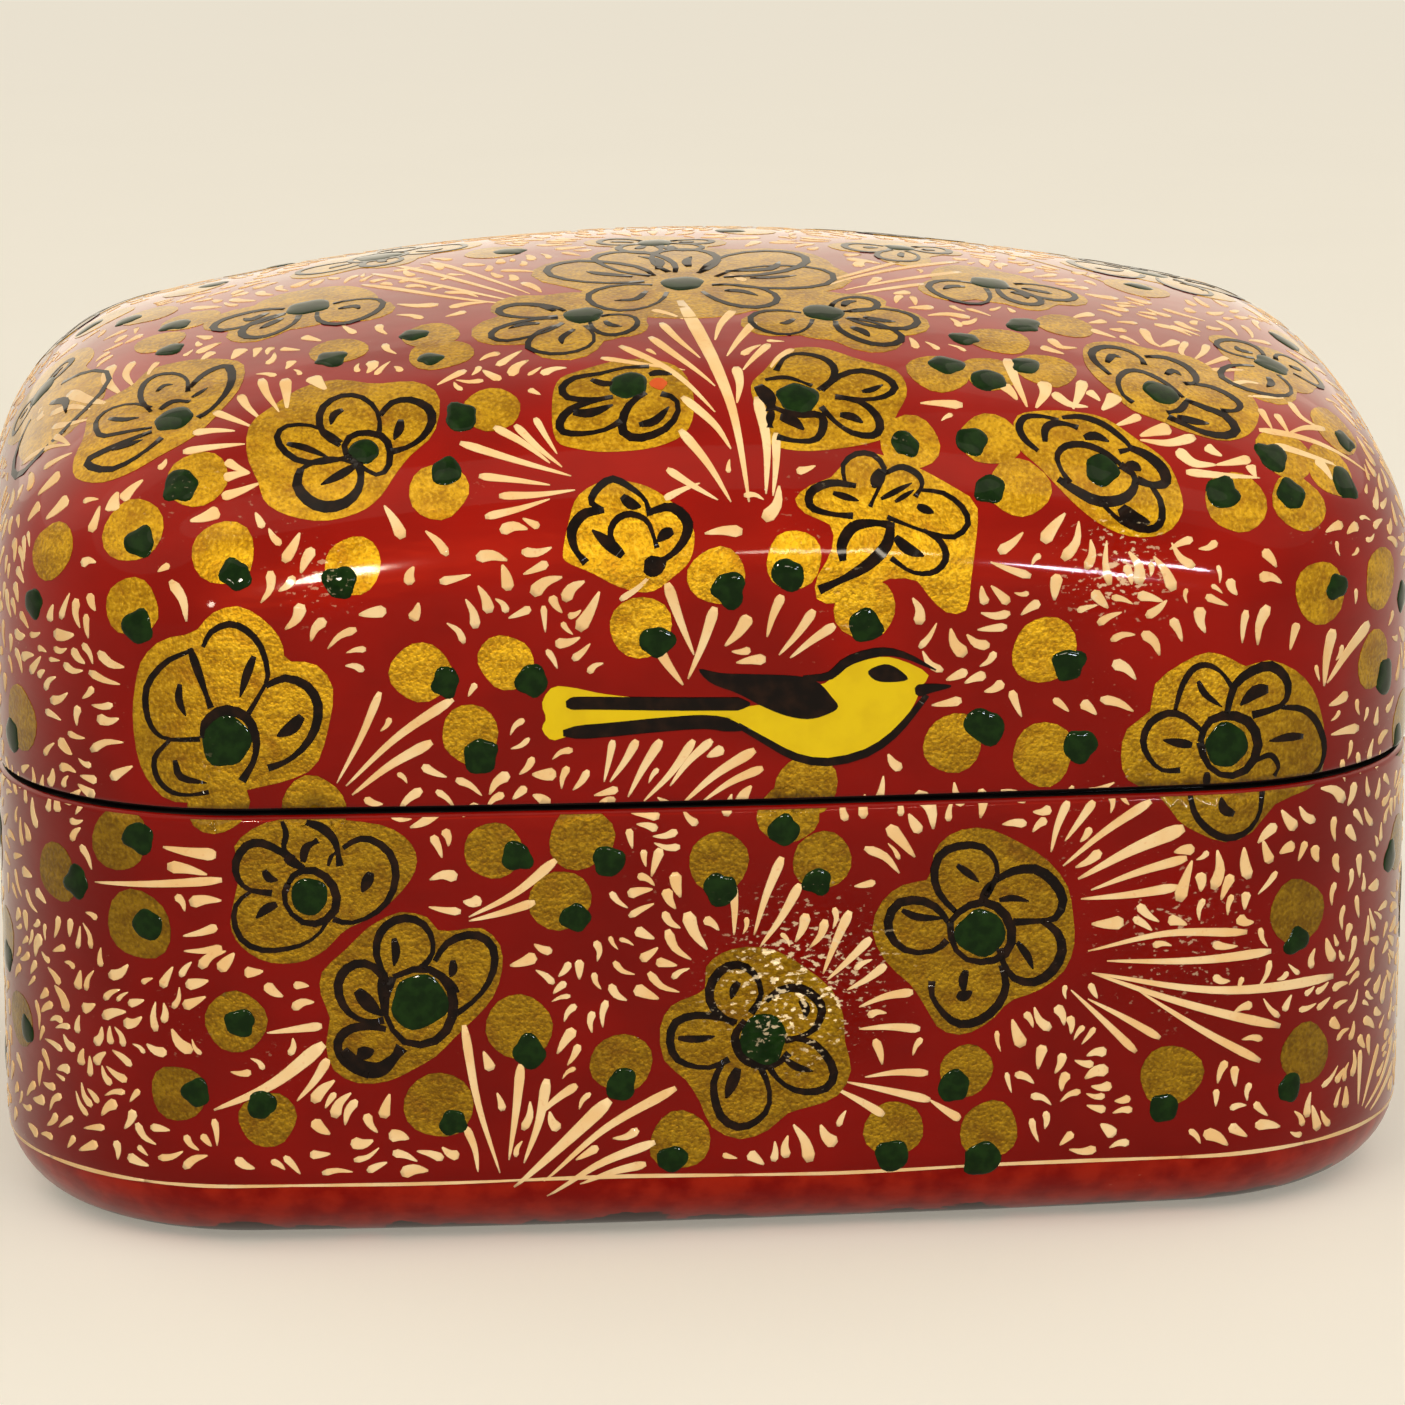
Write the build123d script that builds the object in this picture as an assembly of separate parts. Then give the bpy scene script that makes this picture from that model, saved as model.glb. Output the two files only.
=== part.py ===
from build123d import *

import os
from math import asin, degrees, sqrt

# Kashmiri papier mache box: a moulded tray, a domed lid that lifts straight off, and the card collar
# that is glued inside the tray's rim to keep the lid in place.
#
# Frame: millimetres, +Z up, origin on the table under the middle of the box. +X runs along the long
# side, and the front of the box faces -Y.

# Plan, shared by the tray and the lid
box_width = 150.0  # across the middles of the two ends
box_depth = 106.0  # across the middles of the two long sides
side_bow = 3.0  # how far a long side bulges past its corners
end_bow = 1.0  # how far an end bulges past its corners
corner_radius = 27.0

# Heights above the table
tray_height = 46.5
box_height = 96.0  # crown of the lid

# Moulded walls: pulp, ground coat and paint together
wall = 3.5
floor_thickness = 4.0
foot_radius = 9.0  # outer turn from the tray's wall to its underside
inner_foot_radius = 6.0

# Rims, cut apart with a saw and then sanded
outer_rim_break = 0.7  # bevel on the edge that shows
inner_rim_break = 0.5
seat_gap = 0.3  # between the two sanded rims with the lid on

# Dome of the lid
crown_radius_long = 256.0  # arc of the top, seen from the front
crown_radius_short = 126.0  # arc of the top, seen from an end
shoulder_radius = 22.0  # turn from the wall to the top
crown_thickness = 3.2

# Collar: a strip of card bent round inside the tray
collar_thickness = 1.8
collar_stand = 7.0  # above the tray's rim
collar_glued = 11.0  # below the tray's rim
collar_lead = 0.7  # bevel on the edge that the lid slides over
collar_butt = 0.4  # gap between the strip's two ends, at the middle of the back
lid_clearance = 0.35  # running fit of the lid over the collar

lid_bottom = tray_height + seat_gap
lid_wall = wall - lid_clearance


def plan(inset):
    """The box's outline, moved inwards by inset: four shallow arcs with round corners between."""
    half_x = box_width / 2
    half_y = box_depth / 2
    corner_x = half_x - end_bow
    corner_y = half_y - side_bow
    sides = [
        ThreePointArc((-corner_x, -corner_y), (0, -half_y), (corner_x, -corner_y)),
        ThreePointArc((corner_x, -corner_y), (half_x, 0), (corner_x, corner_y)),
        ThreePointArc((corner_x, corner_y), (0, half_y), (-corner_x, corner_y)),
        ThreePointArc((-corner_x, corner_y), (-half_x, 0), (-corner_x, -corner_y)),
    ]
    sharp = make_face(sides)
    rounded = fillet(sharp.vertices(), corner_radius)
    return offset(rounded, amount=-inset) if inset else rounded


def walls(inset, bottom, top):
    """A straight-walled block on the box's plan."""
    return extrude(Pos(0, 0, bottom) * plan(inset), amount=top - bottom)


def crown(drop):
    """A block under the lid's crown, which curves both ways. Drop lowers the crown evenly."""
    reach = box_depth / 2 + wall
    short_radius = crown_radius_short - drop
    peak = box_height - drop
    side_height = peak - short_radius + sqrt(short_radius**2 - reach**2)
    arc = ThreePointArc((0, -reach, side_height), (0, 0, peak), (0, reach, side_height))
    skirt = Polyline((0, reach, side_height), (0, reach, 0), (0, -reach, 0), (0, -reach, side_height))
    section = make_face([arc, skirt])
    pivot = Axis((0, 0, box_height - crown_radius_long), (0, 1, 0))
    swing = degrees(asin((box_width / 2 + wall) / (crown_radius_long - box_height)))
    arch = revolve(section, axis=pivot, revolution_arc=2 * swing)
    return arch.rotate(pivot, -swing)


def dome(inset, drop, bottom):
    """The lid's form: straight walls that roll over a shoulder into the crown."""
    block = walls(inset, bottom, box_height) & crown(drop)
    top = max(block.faces(), key=lambda face: face.bounding_box().max.Z)
    return fillet(top.edges(), shoulder_radius - inset)


# Tray: one moulded shell with a soft turn into the flat underside. The collar covers its inner rim
# edge, so only the outer one is sanded.
tray_block = walls(0, 0, tray_height)
tray_block = fillet(tray_block.faces().sort_by(Axis.Z)[0].edges(), foot_radius)
tray_hollow = walls(wall, floor_thickness, tray_height + wall)
tray_hollow = fillet(tray_hollow.faces().sort_by(Axis.Z)[0].edges(), inner_foot_radius)
base_tray = tray_block - tray_hollow
tray_rim = base_tray.faces().filter_by(Plane.XY).sort_by(Axis.Z)[-1]
base_tray = chamfer(tray_rim.outer_wire().edges(), outer_rim_break)

# Lid: the same plan, with the crown and shoulder followed inside by an even wall.
lid_shell = dome(0, 0, lid_bottom) - dome(lid_wall, crown_thickness, lid_bottom - wall)
lid_rim = lid_shell.faces().filter_by(Plane.XY).sort_by(Axis.Z)[0]
lid_shell = chamfer(lid_rim.outer_wire().edges(), outer_rim_break)
lid_rim = lid_shell.faces().filter_by(Plane.XY).sort_by(Axis.Z)[0]
lid_shell = chamfer(lid_rim.inner_wires()[0].edges(), inner_rim_break)

# Collar: card strip glued to the tray's wall, its ends butted at the back.
collar_top = tray_height + collar_stand
collar_bottom = tray_height - collar_glued
collar_block = walls(wall, collar_bottom, collar_top)
collar_block = chamfer(collar_block.faces().sort_by(Axis.Z)[-1].edges(), collar_lead)
collar = collar_block - walls(wall + collar_thickness, collar_bottom, collar_top)
butt_cut = Box(collar_butt, box_depth, box_height, align=(Align.CENTER, Align.MIN, Align.MIN))
collar = collar - butt_cut

os.makedirs("parts", exist_ok=True)
for name, piece in (("base_tray", base_tray), ("lid_shell", lid_shell), ("collar", collar)):
    export_step(piece, f"parts/{name}.step")
    print(name, "valid", piece.is_valid, "size", piece.bounding_box().size)
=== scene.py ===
import random
from math import asin, atan2, cos, exp, hypot, pi, radians, sin, sqrt, tan, tau

import bmesh
import bpy
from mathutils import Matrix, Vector, noise
from mathutils.bvhtree import BVHTree


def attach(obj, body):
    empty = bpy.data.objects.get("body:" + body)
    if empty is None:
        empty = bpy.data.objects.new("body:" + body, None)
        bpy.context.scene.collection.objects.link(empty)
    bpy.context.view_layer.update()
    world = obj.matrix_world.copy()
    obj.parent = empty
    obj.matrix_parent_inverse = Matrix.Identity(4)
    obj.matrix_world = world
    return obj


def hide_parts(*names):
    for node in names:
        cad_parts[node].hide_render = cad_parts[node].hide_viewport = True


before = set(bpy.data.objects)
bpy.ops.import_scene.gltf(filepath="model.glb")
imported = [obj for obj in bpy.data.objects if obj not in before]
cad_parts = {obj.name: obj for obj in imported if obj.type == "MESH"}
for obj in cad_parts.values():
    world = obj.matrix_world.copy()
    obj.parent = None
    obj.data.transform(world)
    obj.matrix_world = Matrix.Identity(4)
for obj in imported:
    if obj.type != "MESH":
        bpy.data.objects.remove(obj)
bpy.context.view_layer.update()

# ---------------------------------------------------------------------------
# Standpoint. The box is looked at from in front and a little above, through a
# long lens. Places on its painted faces are named by how far across and down
# the square view they lie.
# ---------------------------------------------------------------------------
mm = 0.001
view_side = 1405
lens_points = 6002.9
sensor_width = 36.0
eye = Vector((-64.96, -640.0, 198.85)) * mm
turn_right = 0.1045
tilt_down = 0.2352

looking = Vector((sin(turn_right) * cos(tilt_down), cos(turn_right) * cos(tilt_down), -sin(tilt_down)))
view_right = Vector((cos(turn_right), -sin(turn_right), 0))
view_up = view_right.cross(looking)

camera = bpy.data.objects.new("camera", bpy.data.cameras.new("camera"))
bpy.context.scene.collection.objects.link(camera)
camera.location = eye
camera.rotation_euler = (pi / 2 - tilt_down, 0, -turn_right)
camera.data.sensor_width = sensor_width
camera.data.lens = lens_points * sensor_width / view_side
camera.data.clip_start = 0.01
bpy.context.scene.camera = camera
bpy.context.scene.view_settings.view_transform = "Standard"


# ---------------------------------------------------------------------------
# Red ground of the lid and tray: oil paint over a smooth gesso of chalk and
# glue, under several coats of clear varnish. Below the painted line the tray
# keeps its brighter first coat, and black laps up round the underside.
# ---------------------------------------------------------------------------
unpainted = (0.0, 0.0, 0.0)
varnish_index = 1.20
# Painted glints: pale specks laid into the colour in patches, where the varnish is also broken.
everywhere = 0.20  # how badly the varnish brush dragged in patches all over
painted_glint_pale = (0.930, 0.760, 0.480)
# Where the varnish brush dragged, and pale specks are painted in as glints: a place and its reach in
# millimetres, and how badly.
dragged_and_glint_places = (
    ((39, -52, 70), 9, 0.85),
    ((7, -53, 28), 14, 0.95),
    ((46, -52, 31), 13, 0.5),
    ((-42, -52, 71), 7, 0.45),
)


class Wire:
    """A shader socket, or a plain number, that can be used in sums."""

    def __init__(self, mix, socket):
        self.mix = mix
        self.socket = socket

    def maths(self, operation, *terms):
        return self.mix.node("ShaderNodeMath", {"operation": operation}, *terms)

    def __add__(self, other):
        return self.maths("ADD", self, other)

    def __radd__(self, other):
        return self.maths("ADD", other, self)

    def __sub__(self, other):
        return self.maths("SUBTRACT", self, other)

    def __rsub__(self, other):
        return self.maths("SUBTRACT", other, self)

    def __mul__(self, other):
        return self.maths("MULTIPLY", self, other)

    def __rmul__(self, other):
        return self.maths("MULTIPLY", other, self)

    def step(self, low, high):
        """0 below low, 1 above high, smooth between."""
        settings = {"interpolation_type": "SMOOTHSTEP"}
        return self.mix.node("ShaderNodeMapRange", settings, self, low, high, 0.0, 1.0)


class Mix:
    """Shader nodes mixed together in one tree."""

    def __init__(self, tree):
        self.nodes = tree.nodes
        self.links = tree.links

    def node(self, kind, settings, *values, out=0, **named):
        """One output of a new node, whose sockets get these values or wires, in order or by name."""
        made = self.nodes.new(kind)
        for key, value in settings.items():
            setattr(made, key, value)
        for key, value in [*enumerate(values), *named.items()]:
            key = key.replace("_", " ") if isinstance(key, str) else key
            if isinstance(value, Wire):
                self.links.new(value.socket, made.inputs[key])
            else:
                made.inputs[key].default_value = value
        return Wire(self, made.outputs[out])

    def blend(self, share, first, second):
        """One colour over another."""
        made = self.nodes.new("ShaderNodeMix")
        made.data_type = "RGBA"
        for key, value in ((0, share), (6, first), (7, second)):
            if isinstance(value, Wire):
                self.links.new(value.socket, made.inputs[key])
            else:
                made.inputs[key].default_value = (*value, 1) if key else value
        return Wire(self, made.outputs[2])

    def looked_at(self):
        """1 for what is seen straight, mirrored or through glass, and 0 for what only lights."""
        camera_ray, glossy_ray, clear_ray = (
            self.node("ShaderNodeLightPath", {}, out=way)
            for way in ("Is Camera Ray", "Is Glossy Ray", "Is Transmission Ray")
        )
        return camera_ray + glossy_ray + clear_ray


class Finish(Mix):
    """A paint or lacquer."""

    def __init__(self, name, roughness, coat=0.0, coat_roughness=0.03, metallic=0.0, specular=0.0):
        self.material = bpy.data.materials.new(name)
        self.material.use_nodes = True
        super().__init__(self.material.node_tree)
        self.shader = self.nodes["Principled BSDF"]
        self.shader.inputs["Coat Weight"].default_value = coat
        self.shader.inputs["Coat Roughness"].default_value = coat_roughness
        self.shader.inputs["Coat IOR"].default_value = varnish_index
        self.shader.inputs["Specular IOR Level"].default_value = specular
        self.shader.inputs["Metallic"].default_value = metallic
        self.shader.inputs["Roughness"].default_value = roughness
        self.place = self.node("ShaderNodeTexCoord", {}, out="Object")

    def grain(self, size, detail=2.0, stretch=(1, 1, 1), seed=0.0):
        """Cloudy variation from 0 to 1, with lumps about this many millimetres across."""
        spread = [s / (size * mm) for s in stretch]
        offset = (seed, seed * 0.7, seed * 0.3)
        place = self.node("ShaderNodeMapping", {}, Vector=self.place, Location=offset, Scale=spread)
        return self.node("ShaderNodeTexNoise", {}, Vector=place, Scale=1.0, Detail=detail)

    def height(self):
        """How high a place lies over the table."""
        return self.node("ShaderNodeSeparateXYZ", {}, self.place, out=2)

    def colour(self, wire):
        self.links.new(wire.socket, self.shader.inputs["Base Color"])

    def glow(self, wire):
        self.links.new(wire.socket, self.shader.inputs["Emission Color"])
        self.shader.inputs["Emission Strength"].default_value = 1.0

    def roughness(self, wire):
        self.links.new(wire.socket, self.shader.inputs["Roughness"])

    def relief(self, height):
        """Raises the surface by this many millimetres."""
        bump = self.node("ShaderNodeBump", {}, Height=height, Distance=mm, Strength=1.0)
        self.links.new(bump.socket, self.shader.inputs["Normal"])

    def varnished(self, tone, share=1.0):
        """Colour under the varnish, which is broken where its brush dragged, with pale specks painted in
        there as painted glints.
        """
        patch = self.grain(15, detail=2.0, seed=21.0).step(0.60, 0.75) * everywhere
        for middle, reach, strength in dragged_and_glint_places:
            middle = [c * mm for c in middle]
            away = self.node("ShaderNodeVectorMath", {"operation": "DISTANCE"}, self.place, middle, out=1)
            here = (1.0 - away.step(0.15 * reach * mm, reach * mm)) * strength
            patch = self.node("ShaderNodeMath", {"operation": "MAXIMUM"}, patch, here)
        specks = self.grain(0.55, detail=3.0, stretch=(0.7, 0.9, 1.1), seed=22.0) + (patch - 1.0) * 0.14
        broken = patch * (1.0 - specks.step(0.38, 0.46))
        weight = share * (1.0 - broken * 0.9)
        self.links.new(weight.socket, self.shader.inputs["Coat Weight"])
        # Painted glints: pale specks in the colour where the varnish broke.
        self.colour(self.blend(specks.step(0.53, 0.60) * patch * 0.85, tone, painted_glint_pale))


# Painted shade and light: the red is painted darker low on the tray and brighter up the lid.
crimson_in_painted_shade = (0.215, 0.0022, 0.0006)
crimson_in_painted_light = (0.335, 0.0050, 0.0010)
first_coat = (0.380, 0.017, 0.005)
underside_black = (0.012, 0.009, 0.008)
warm_sheen = (1.0, 0.06, 0.015)
painted_shade_below = (36.0 * mm, 80.0 * mm)
line_height = 7.2 * mm
line_wobble = 1.2 * mm
black_lap = 1.5 * mm
lap_wobble = 6.5 * mm
thinner_on_band = 0.6  # how much thinner the varnish lies below the painted line

red_lacquer = Finish("red_lacquer", roughness=0.32, coat=1.0, coat_roughness=0.045, specular=0.30)
red_lacquer.shader.inputs["Specular Tint"].default_value = (*warm_sheen, 1)
clouds = red_lacquer.grain(14, detail=3.0)
streaks = red_lacquer.grain(2.2, detail=4.0, stretch=(0.35, 0.35, 1.6), seed=4.0)
height_up = red_lacquer.height()
# Painted shade: the red turns darker from the lid down to the tray.
crimson = red_lacquer.blend(height_up.step(*painted_shade_below), crimson_in_painted_shade, crimson_in_painted_light)
deep_crimson = red_lacquer.blend(0.30, crimson, unpainted)
cloudy_red = red_lacquer.blend(clouds.step(0.30, 0.72), deep_crimson, crimson)
streaky_red = red_lacquer.blend(streaks.step(0.45, 0.85) * 0.35, cloudy_red, deep_crimson)
wobble = (red_lacquer.grain(9, seed=2.0) - 0.5) * line_wobble
plain_band = red_lacquer.blend(red_lacquer.grain(3, detail=3.0).step(0.3, 0.7), first_coat, crimson)
below_line = 1.0 - (height_up + wobble).step(line_height - 0.5 * mm, line_height + 0.3 * mm)
banded_red = red_lacquer.blend(below_line, streaky_red, plain_band)
ragged = (red_lacquer.grain(7, detail=6.0, seed=7.0) - 0.5) * lap_wobble
lapped = 1.0 - (height_up + ragged).step(black_lap - 0.15 * mm, black_lap + 0.15 * mm)
lapped_red = red_lacquer.blend(lapped, banded_red, underside_black)
red_lacquer.varnished(lapped_red, 1.0 - below_line * thinner_on_band)
red_lacquer.roughness(0.26 + red_lacquer.grain(6, seed=1.0) * 0.14)
brush_drag = red_lacquer.grain(2.6, detail=2.0, stretch=(0.45, 0.45, 1.3), seed=3.0)
red_lacquer.relief((brush_drag * 0.9 + red_lacquer.grain(8, seed=5.0)) * 0.085)


# ---------------------------------------------------------------------------
# Black lacquer: the inside of both halves, their rims and the collar are
# brushed with black and varnished thinly, so strokes of the brush show.
# ---------------------------------------------------------------------------
lacquer_black = (0.007, 0.006, 0.006)
lacquer_grey = (0.022, 0.017, 0.015)
worn_brown = (0.060, 0.030, 0.022)

black_lacquer = Finish("black_lacquer", roughness=0.38, coat=0.55, coat_roughness=0.12)
brushed = black_lacquer.grain(1.1, detail=4.0, stretch=(0.12, 0.5, 1.2), seed=9.0)
lacquer_tone = black_lacquer.blend(brushed.step(0.35, 0.75), lacquer_black, lacquer_grey)
worn = black_lacquer.grain(4, detail=6.0, seed=12.0).step(0.70, 0.80) * 0.5
black_lacquer.colour(black_lacquer.blend(worn, lacquer_tone, worn_brown))
black_lacquer.roughness(0.30 + brushed * 0.25)
black_lacquer.relief(brushed * 0.05)


# ---------------------------------------------------------------------------
# Lid: layers of paper pulp pressed over a wooden mould, lifted off, cut from
# the tray with a fine saw, then filled and rubbed smooth. Straight walls roll
# over a shoulder into a top that curves both ways.
# ---------------------------------------------------------------------------
box_width, box_depth, box_height = 150.0 * mm, 106.0 * mm, 96.0 * mm
side_bow, end_bow, corner_radius = 3.0 * mm, 1.0 * mm, 27.0 * mm
lid_bottom = 46.8 * mm
lid_wall = 3.15 * mm
shoulder_radius = 22.0 * mm
crown_long, crown_short = 256.0 * mm, 126.0 * mm
rim_round = 0.8 * mm
hand_waviness = 0.16 * mm
waviness_length = 34.0 * mm
rub_marks = 0.034 * mm
rub_length = 7.0 * mm
side_steps, end_steps, corner_steps = 44, 30, 30  # of the plan, round its sides and corners
settling = 20  # rounds after which the corner's centre no longer moves


def plan_samples():
    """Points round the outer wall with their outward directions, anticlockwise from the front left."""
    half_x, half_y = box_width / 2, box_depth / 2
    chord_x, chord_y = half_x - end_bow, half_y - side_bow
    side_radius = (chord_x**2 + side_bow**2) / (2 * side_bow)
    end_radius = (chord_y**2 + end_bow**2) / (2 * end_bow)
    side_centre, end_centre = side_radius - half_y, end_radius - half_x
    # The corner's centre lies inside both neighbouring arcs by the corner radius.
    side_reach, end_reach = side_radius - corner_radius, end_radius - corner_radius
    across, up = half_x - corner_radius, half_y - corner_radius
    for _ in range(settling):
        up = sqrt(side_reach**2 - across**2) - side_centre
        across = sqrt(end_reach**2 - up**2) - end_centre
    corner_start = atan2(up, across + end_centre)
    corner_end = pi / 2 - atan2(across, up + side_centre)
    samples = []
    for quarter, steps in enumerate((end_steps, side_steps, end_steps, side_steps)):
        # Long and short sides alternate, each followed by the corner on its left.
        on_end = quarter % 2 == 0
        middle = quarter * pi / 2
        half_angle = corner_start if on_end else pi / 2 - corner_end
        radius, centre = (end_radius, end_centre) if on_end else (side_radius, side_centre)
        for i in range(steps):
            angle = middle + half_angle * (2 * i / steps - 1)
            middle_point = Vector((cos(middle), sin(middle))) * -centre
            outward = Vector((cos(angle), sin(angle)))
            samples.append((middle_point + outward * radius, outward))
        sign_x = 1 if quarter in (0, 3) else -1
        sign_y = 1 if quarter in (0, 1) else -1
        first = middle + half_angle
        following = (pi / 2 - corner_end) if on_end else corner_start
        last = middle + pi / 2 - following
        for i in range(corner_steps):
            angle = first + (last - first) * i / corner_steps
            outward = Vector((cos(angle), sin(angle)))
            samples.append((Vector((sign_x * across, sign_y * up)) + outward * corner_radius, outward))
    return samples


plan = plan_samples()


def lowered_crown(x, y, drop):
    """Height of the lid's crown moved inwards by drop, and the way it faces, over this place."""
    spine = crown_long - crown_short
    inner_short = crown_short - drop
    pivot = box_height - crown_long
    reach = spine + sqrt(inner_short**2 - y * y)
    height = sqrt(reach**2 - x * x)
    lean = y / inner_short
    level = sqrt(1 - lean * lean)
    return pivot + height, Vector((x / reach * level, lean, height / reach * level))


def wavy(point, facing):
    """The same point, off true by as much as a moulded and hand-rubbed shell is."""
    lean = noise.noise(point / waviness_length) * hand_waviness
    lean += noise.noise(point / rub_length) * rub_marks
    return point + facing * lean


def pulled_form(rows):
    """A hollow form from rings of places, each pulled from the one before: (places, paint number)."""
    bm = bmesh.new()
    bmesh.ops.create_circle(bm, segments=len(plan), radius=1)
    previous = list(bm.verts)
    ring = list(bm.edges)
    ends = [previous]
    for vert, place in zip(previous, rows[0][0]):
        vert.co = place
    for places, paint in rows[1:]:
        pulled = bmesh.ops.extrude_edge_only(bm, edges=ring)["geom"]
        ring = [e for e in pulled if isinstance(e, bmesh.types.BMEdge)]
        fresh = {v for v in pulled if isinstance(v, bmesh.types.BMVert)}
        steps = [[e.other_vert(v) for e in v.link_edges if e.other_vert(v) in fresh] for v in previous]
        previous = [step[0] for step in steps]
        for vert, place in zip(previous, places):
            vert.co = place
        for edge in ring:
            edge.link_faces[0].material_index = paint
    ends.append(previous)
    for verts, paint in zip(ends, (rows[1][1], rows[-1][1])):
        cap = bmesh.ops.contextual_create(bm, geom=verts)["faces"]
        for face in bmesh.ops.poke(bm, faces=cap)["faces"]:
            face.material_index = paint
    bmesh.ops.recalc_face_normals(bm, faces=bm.faces)
    for face in bm.faces:
        face.smooth = True
    return bm


def piece(name, bm, finishes, body):
    """Puts a finished form in the scene."""
    mesh = bpy.data.meshes.new(name)
    bm.to_mesh(mesh)
    bm.free()
    made = bpy.data.objects.new(name, mesh)
    bpy.context.scene.collection.objects.link(made)
    for finish in finishes:
        mesh.materials.append(finish.material)
    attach(made, body)
    return made


def spread(low, high, steps):
    """Even steps from low to high, both included."""
    return [low + (high - low) * i / steps for i in range(steps + 1)]


def true_ring(inset, height):
    """A ring round the wall, as true as the former."""
    return [Vector((*(p - n * inset), height)) for p, n in plan]


def wall_ring(inset, height):
    """A ring round the wall, as the hand rubbed it."""
    return [wavy(Vector((*(p - n * inset), height)), Vector((*n, 0))) for p, n in plan]


def dome_ring(share, ball):
    """A ring on the lid's shoulder: share 0 is the top of the wall, 1 the edge of the crown."""
    places = []
    for p, n in plan:
        q = p - n * shoulder_radius
        low, facing = lowered_crown(q.x, q.y, shoulder_radius)
        outward = Vector((*n, 0))
        swing = outward.angle(facing)
        lean = (outward * sin((1 - share) * swing) + facing * sin(share * swing)) / sin(swing)
        places.append(wavy(Vector((*q, low)) + lean * ball, lean))
    return places


def crown_ring(share, ball):
    """A ring on the lid's top: share 1 is its edge, 0 its middle."""
    places = []
    for p, n in plan:
        q = (p - n * shoulder_radius) * share
        low, facing = lowered_crown(q.x, q.y, shoulder_radius)
        places.append(wavy(Vector((*q, low)) + facing * ball, facing))
    return places


def dome_wall(share, ball, foot):
    """A ring on the lid's straight wall: share 0 is at foot, 1 where the shoulder starts."""
    places = []
    for p, n in plan:
        q = p - n * shoulder_radius
        low, _ = lowered_crown(*q, shoulder_radius)
        places.append(wavy(Vector((*(q + n * ball), foot + (low - foot) * share)), Vector((*n, 0))))
    return places


red, black = 0, 1
lid_black_from = 0.75  # how far round the worn-off rim, in radians, the red ends
rim_rings = 6
inner_ball = shoulder_radius - lid_wall
inner_rim_round = 0.5 * mm
lid_outside = [(crown_ring(s, shoulder_radius), red) for s in spread(0.03, 1, 28)]
lid_outside += [(dome_ring(s, shoulder_radius), red) for s in spread(1, 0, 26)[1:]]
lid_outside += [(dome_wall(s, shoulder_radius, lid_bottom + rim_round), red) for s in spread(1, 0, 12)[1:]]
lid_rows = list(lid_outside)
for turn in spread(0, pi / 2, rim_rings)[1:]:
    inset = rim_round * (1 - cos(turn))
    paint = black if turn > lid_black_from else red
    lid_rows.append((wall_ring(inset, lid_bottom + rim_round * (1 - sin(turn))), paint))
for turn in spread(0, pi / 2, 3):
    inset = lid_wall - inner_rim_round * (1 - sin(turn))
    lid_rows.append((true_ring(inset, lid_bottom + inner_rim_round * (1 - cos(turn))), black))
lid_rows += [(dome_wall(s, inner_ball, lid_bottom + inner_rim_round), black) for s in spread(0, 1, 5)[1:]]
lid_rows += [(dome_ring(s, inner_ball), black) for s in spread(0, 1, 14)[1:]]
lid_rows += [(crown_ring(s, inner_ball), black) for s in spread(1, 0.04, 12)[1:]]
lid = piece("lid", pulled_form(lid_rows), (red_lacquer, black_lacquer), "lid")
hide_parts("lid_shell")


# ---------------------------------------------------------------------------
# Tray: the lower half of the same moulding, with a flat underside that turns
# softly up into the walls. Red outside and black inside, and the black laps
# round the foot.
# ---------------------------------------------------------------------------
tray_height = 46.5 * mm
tray_wall = 3.5 * mm
tray_floor = 4.0 * mm
foot_radius = 9.0 * mm
inner_foot_radius = 6.0 * mm
tray_black_from = 1.05  # as for the lid, in radians


def foot_ring(turn, ball, wall, floor):
    """A ring on the turn from wall to floor: turn 0 faces outwards, pi/2 faces down."""
    places = []
    for p, n in plan:
        facing = Vector((*(n * cos(turn)), -sin(turn)))
        inset = wall + ball * (1 - cos(turn))
        place = Vector((*(p - n * inset), floor + ball * (1 - sin(turn))))
        places.append(place + (wavy(place, facing) - place) * cos(turn))
    return places


def floor_ring(share, inset, height):
    """A ring on a flat floor or underside: share 1 is its edge, 0 its middle."""
    return [Vector((*((p - n * inset) * share), height)) for p, n in plan]


tray_rows = [(floor_ring(s, foot_radius, 0.0), red) for s in (0.04, 0.3, 0.6, 0.85)]
tray_outside = [(foot_ring(t, foot_radius, 0, 0), red) for t in spread(pi / 2, 0, 14)]
tray_outside += [(wall_ring(0, h), red) for h in spread(foot_radius, tray_height - rim_round, 16)[1:]]
tray_rows += tray_outside
for turn in spread(0, pi / 2, rim_rings)[1:]:
    inset = rim_round * (1 - cos(turn))
    paint = black if turn > tray_black_from else red
    tray_rows.append((wall_ring(inset, tray_height - rim_round * (1 - sin(turn))), paint))
inner_foot = tray_floor + inner_foot_radius
tray_rows += [(true_ring(tray_wall, h), black) for h in spread(tray_height, inner_foot, 5)]
for turn in spread(0, pi / 2, 8)[1:]:
    tray_rows.append((foot_ring(turn, inner_foot_radius, tray_wall, tray_floor), black))
inner_inset = tray_wall + inner_foot_radius
tray_rows += [(floor_ring(s, inner_inset, tray_floor), black) for s in (0.85, 0.6, 0.3, 0.05)]
tray = piece("tray", pulled_form(tray_rows), (red_lacquer, black_lacquer), "base")
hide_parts("base_tray")


# ---------------------------------------------------------------------------
# Collar: a strip of card bent round inside the tray's rim and glued there,
# with its ends butted at the back. It keeps the lid in place, and is lacquered
# black with the inside.
# ---------------------------------------------------------------------------
collar = bpy.data.objects["collar"]
collar.data.materials.clear()
collar.data.materials.append(black_lacquer.material)


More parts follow.
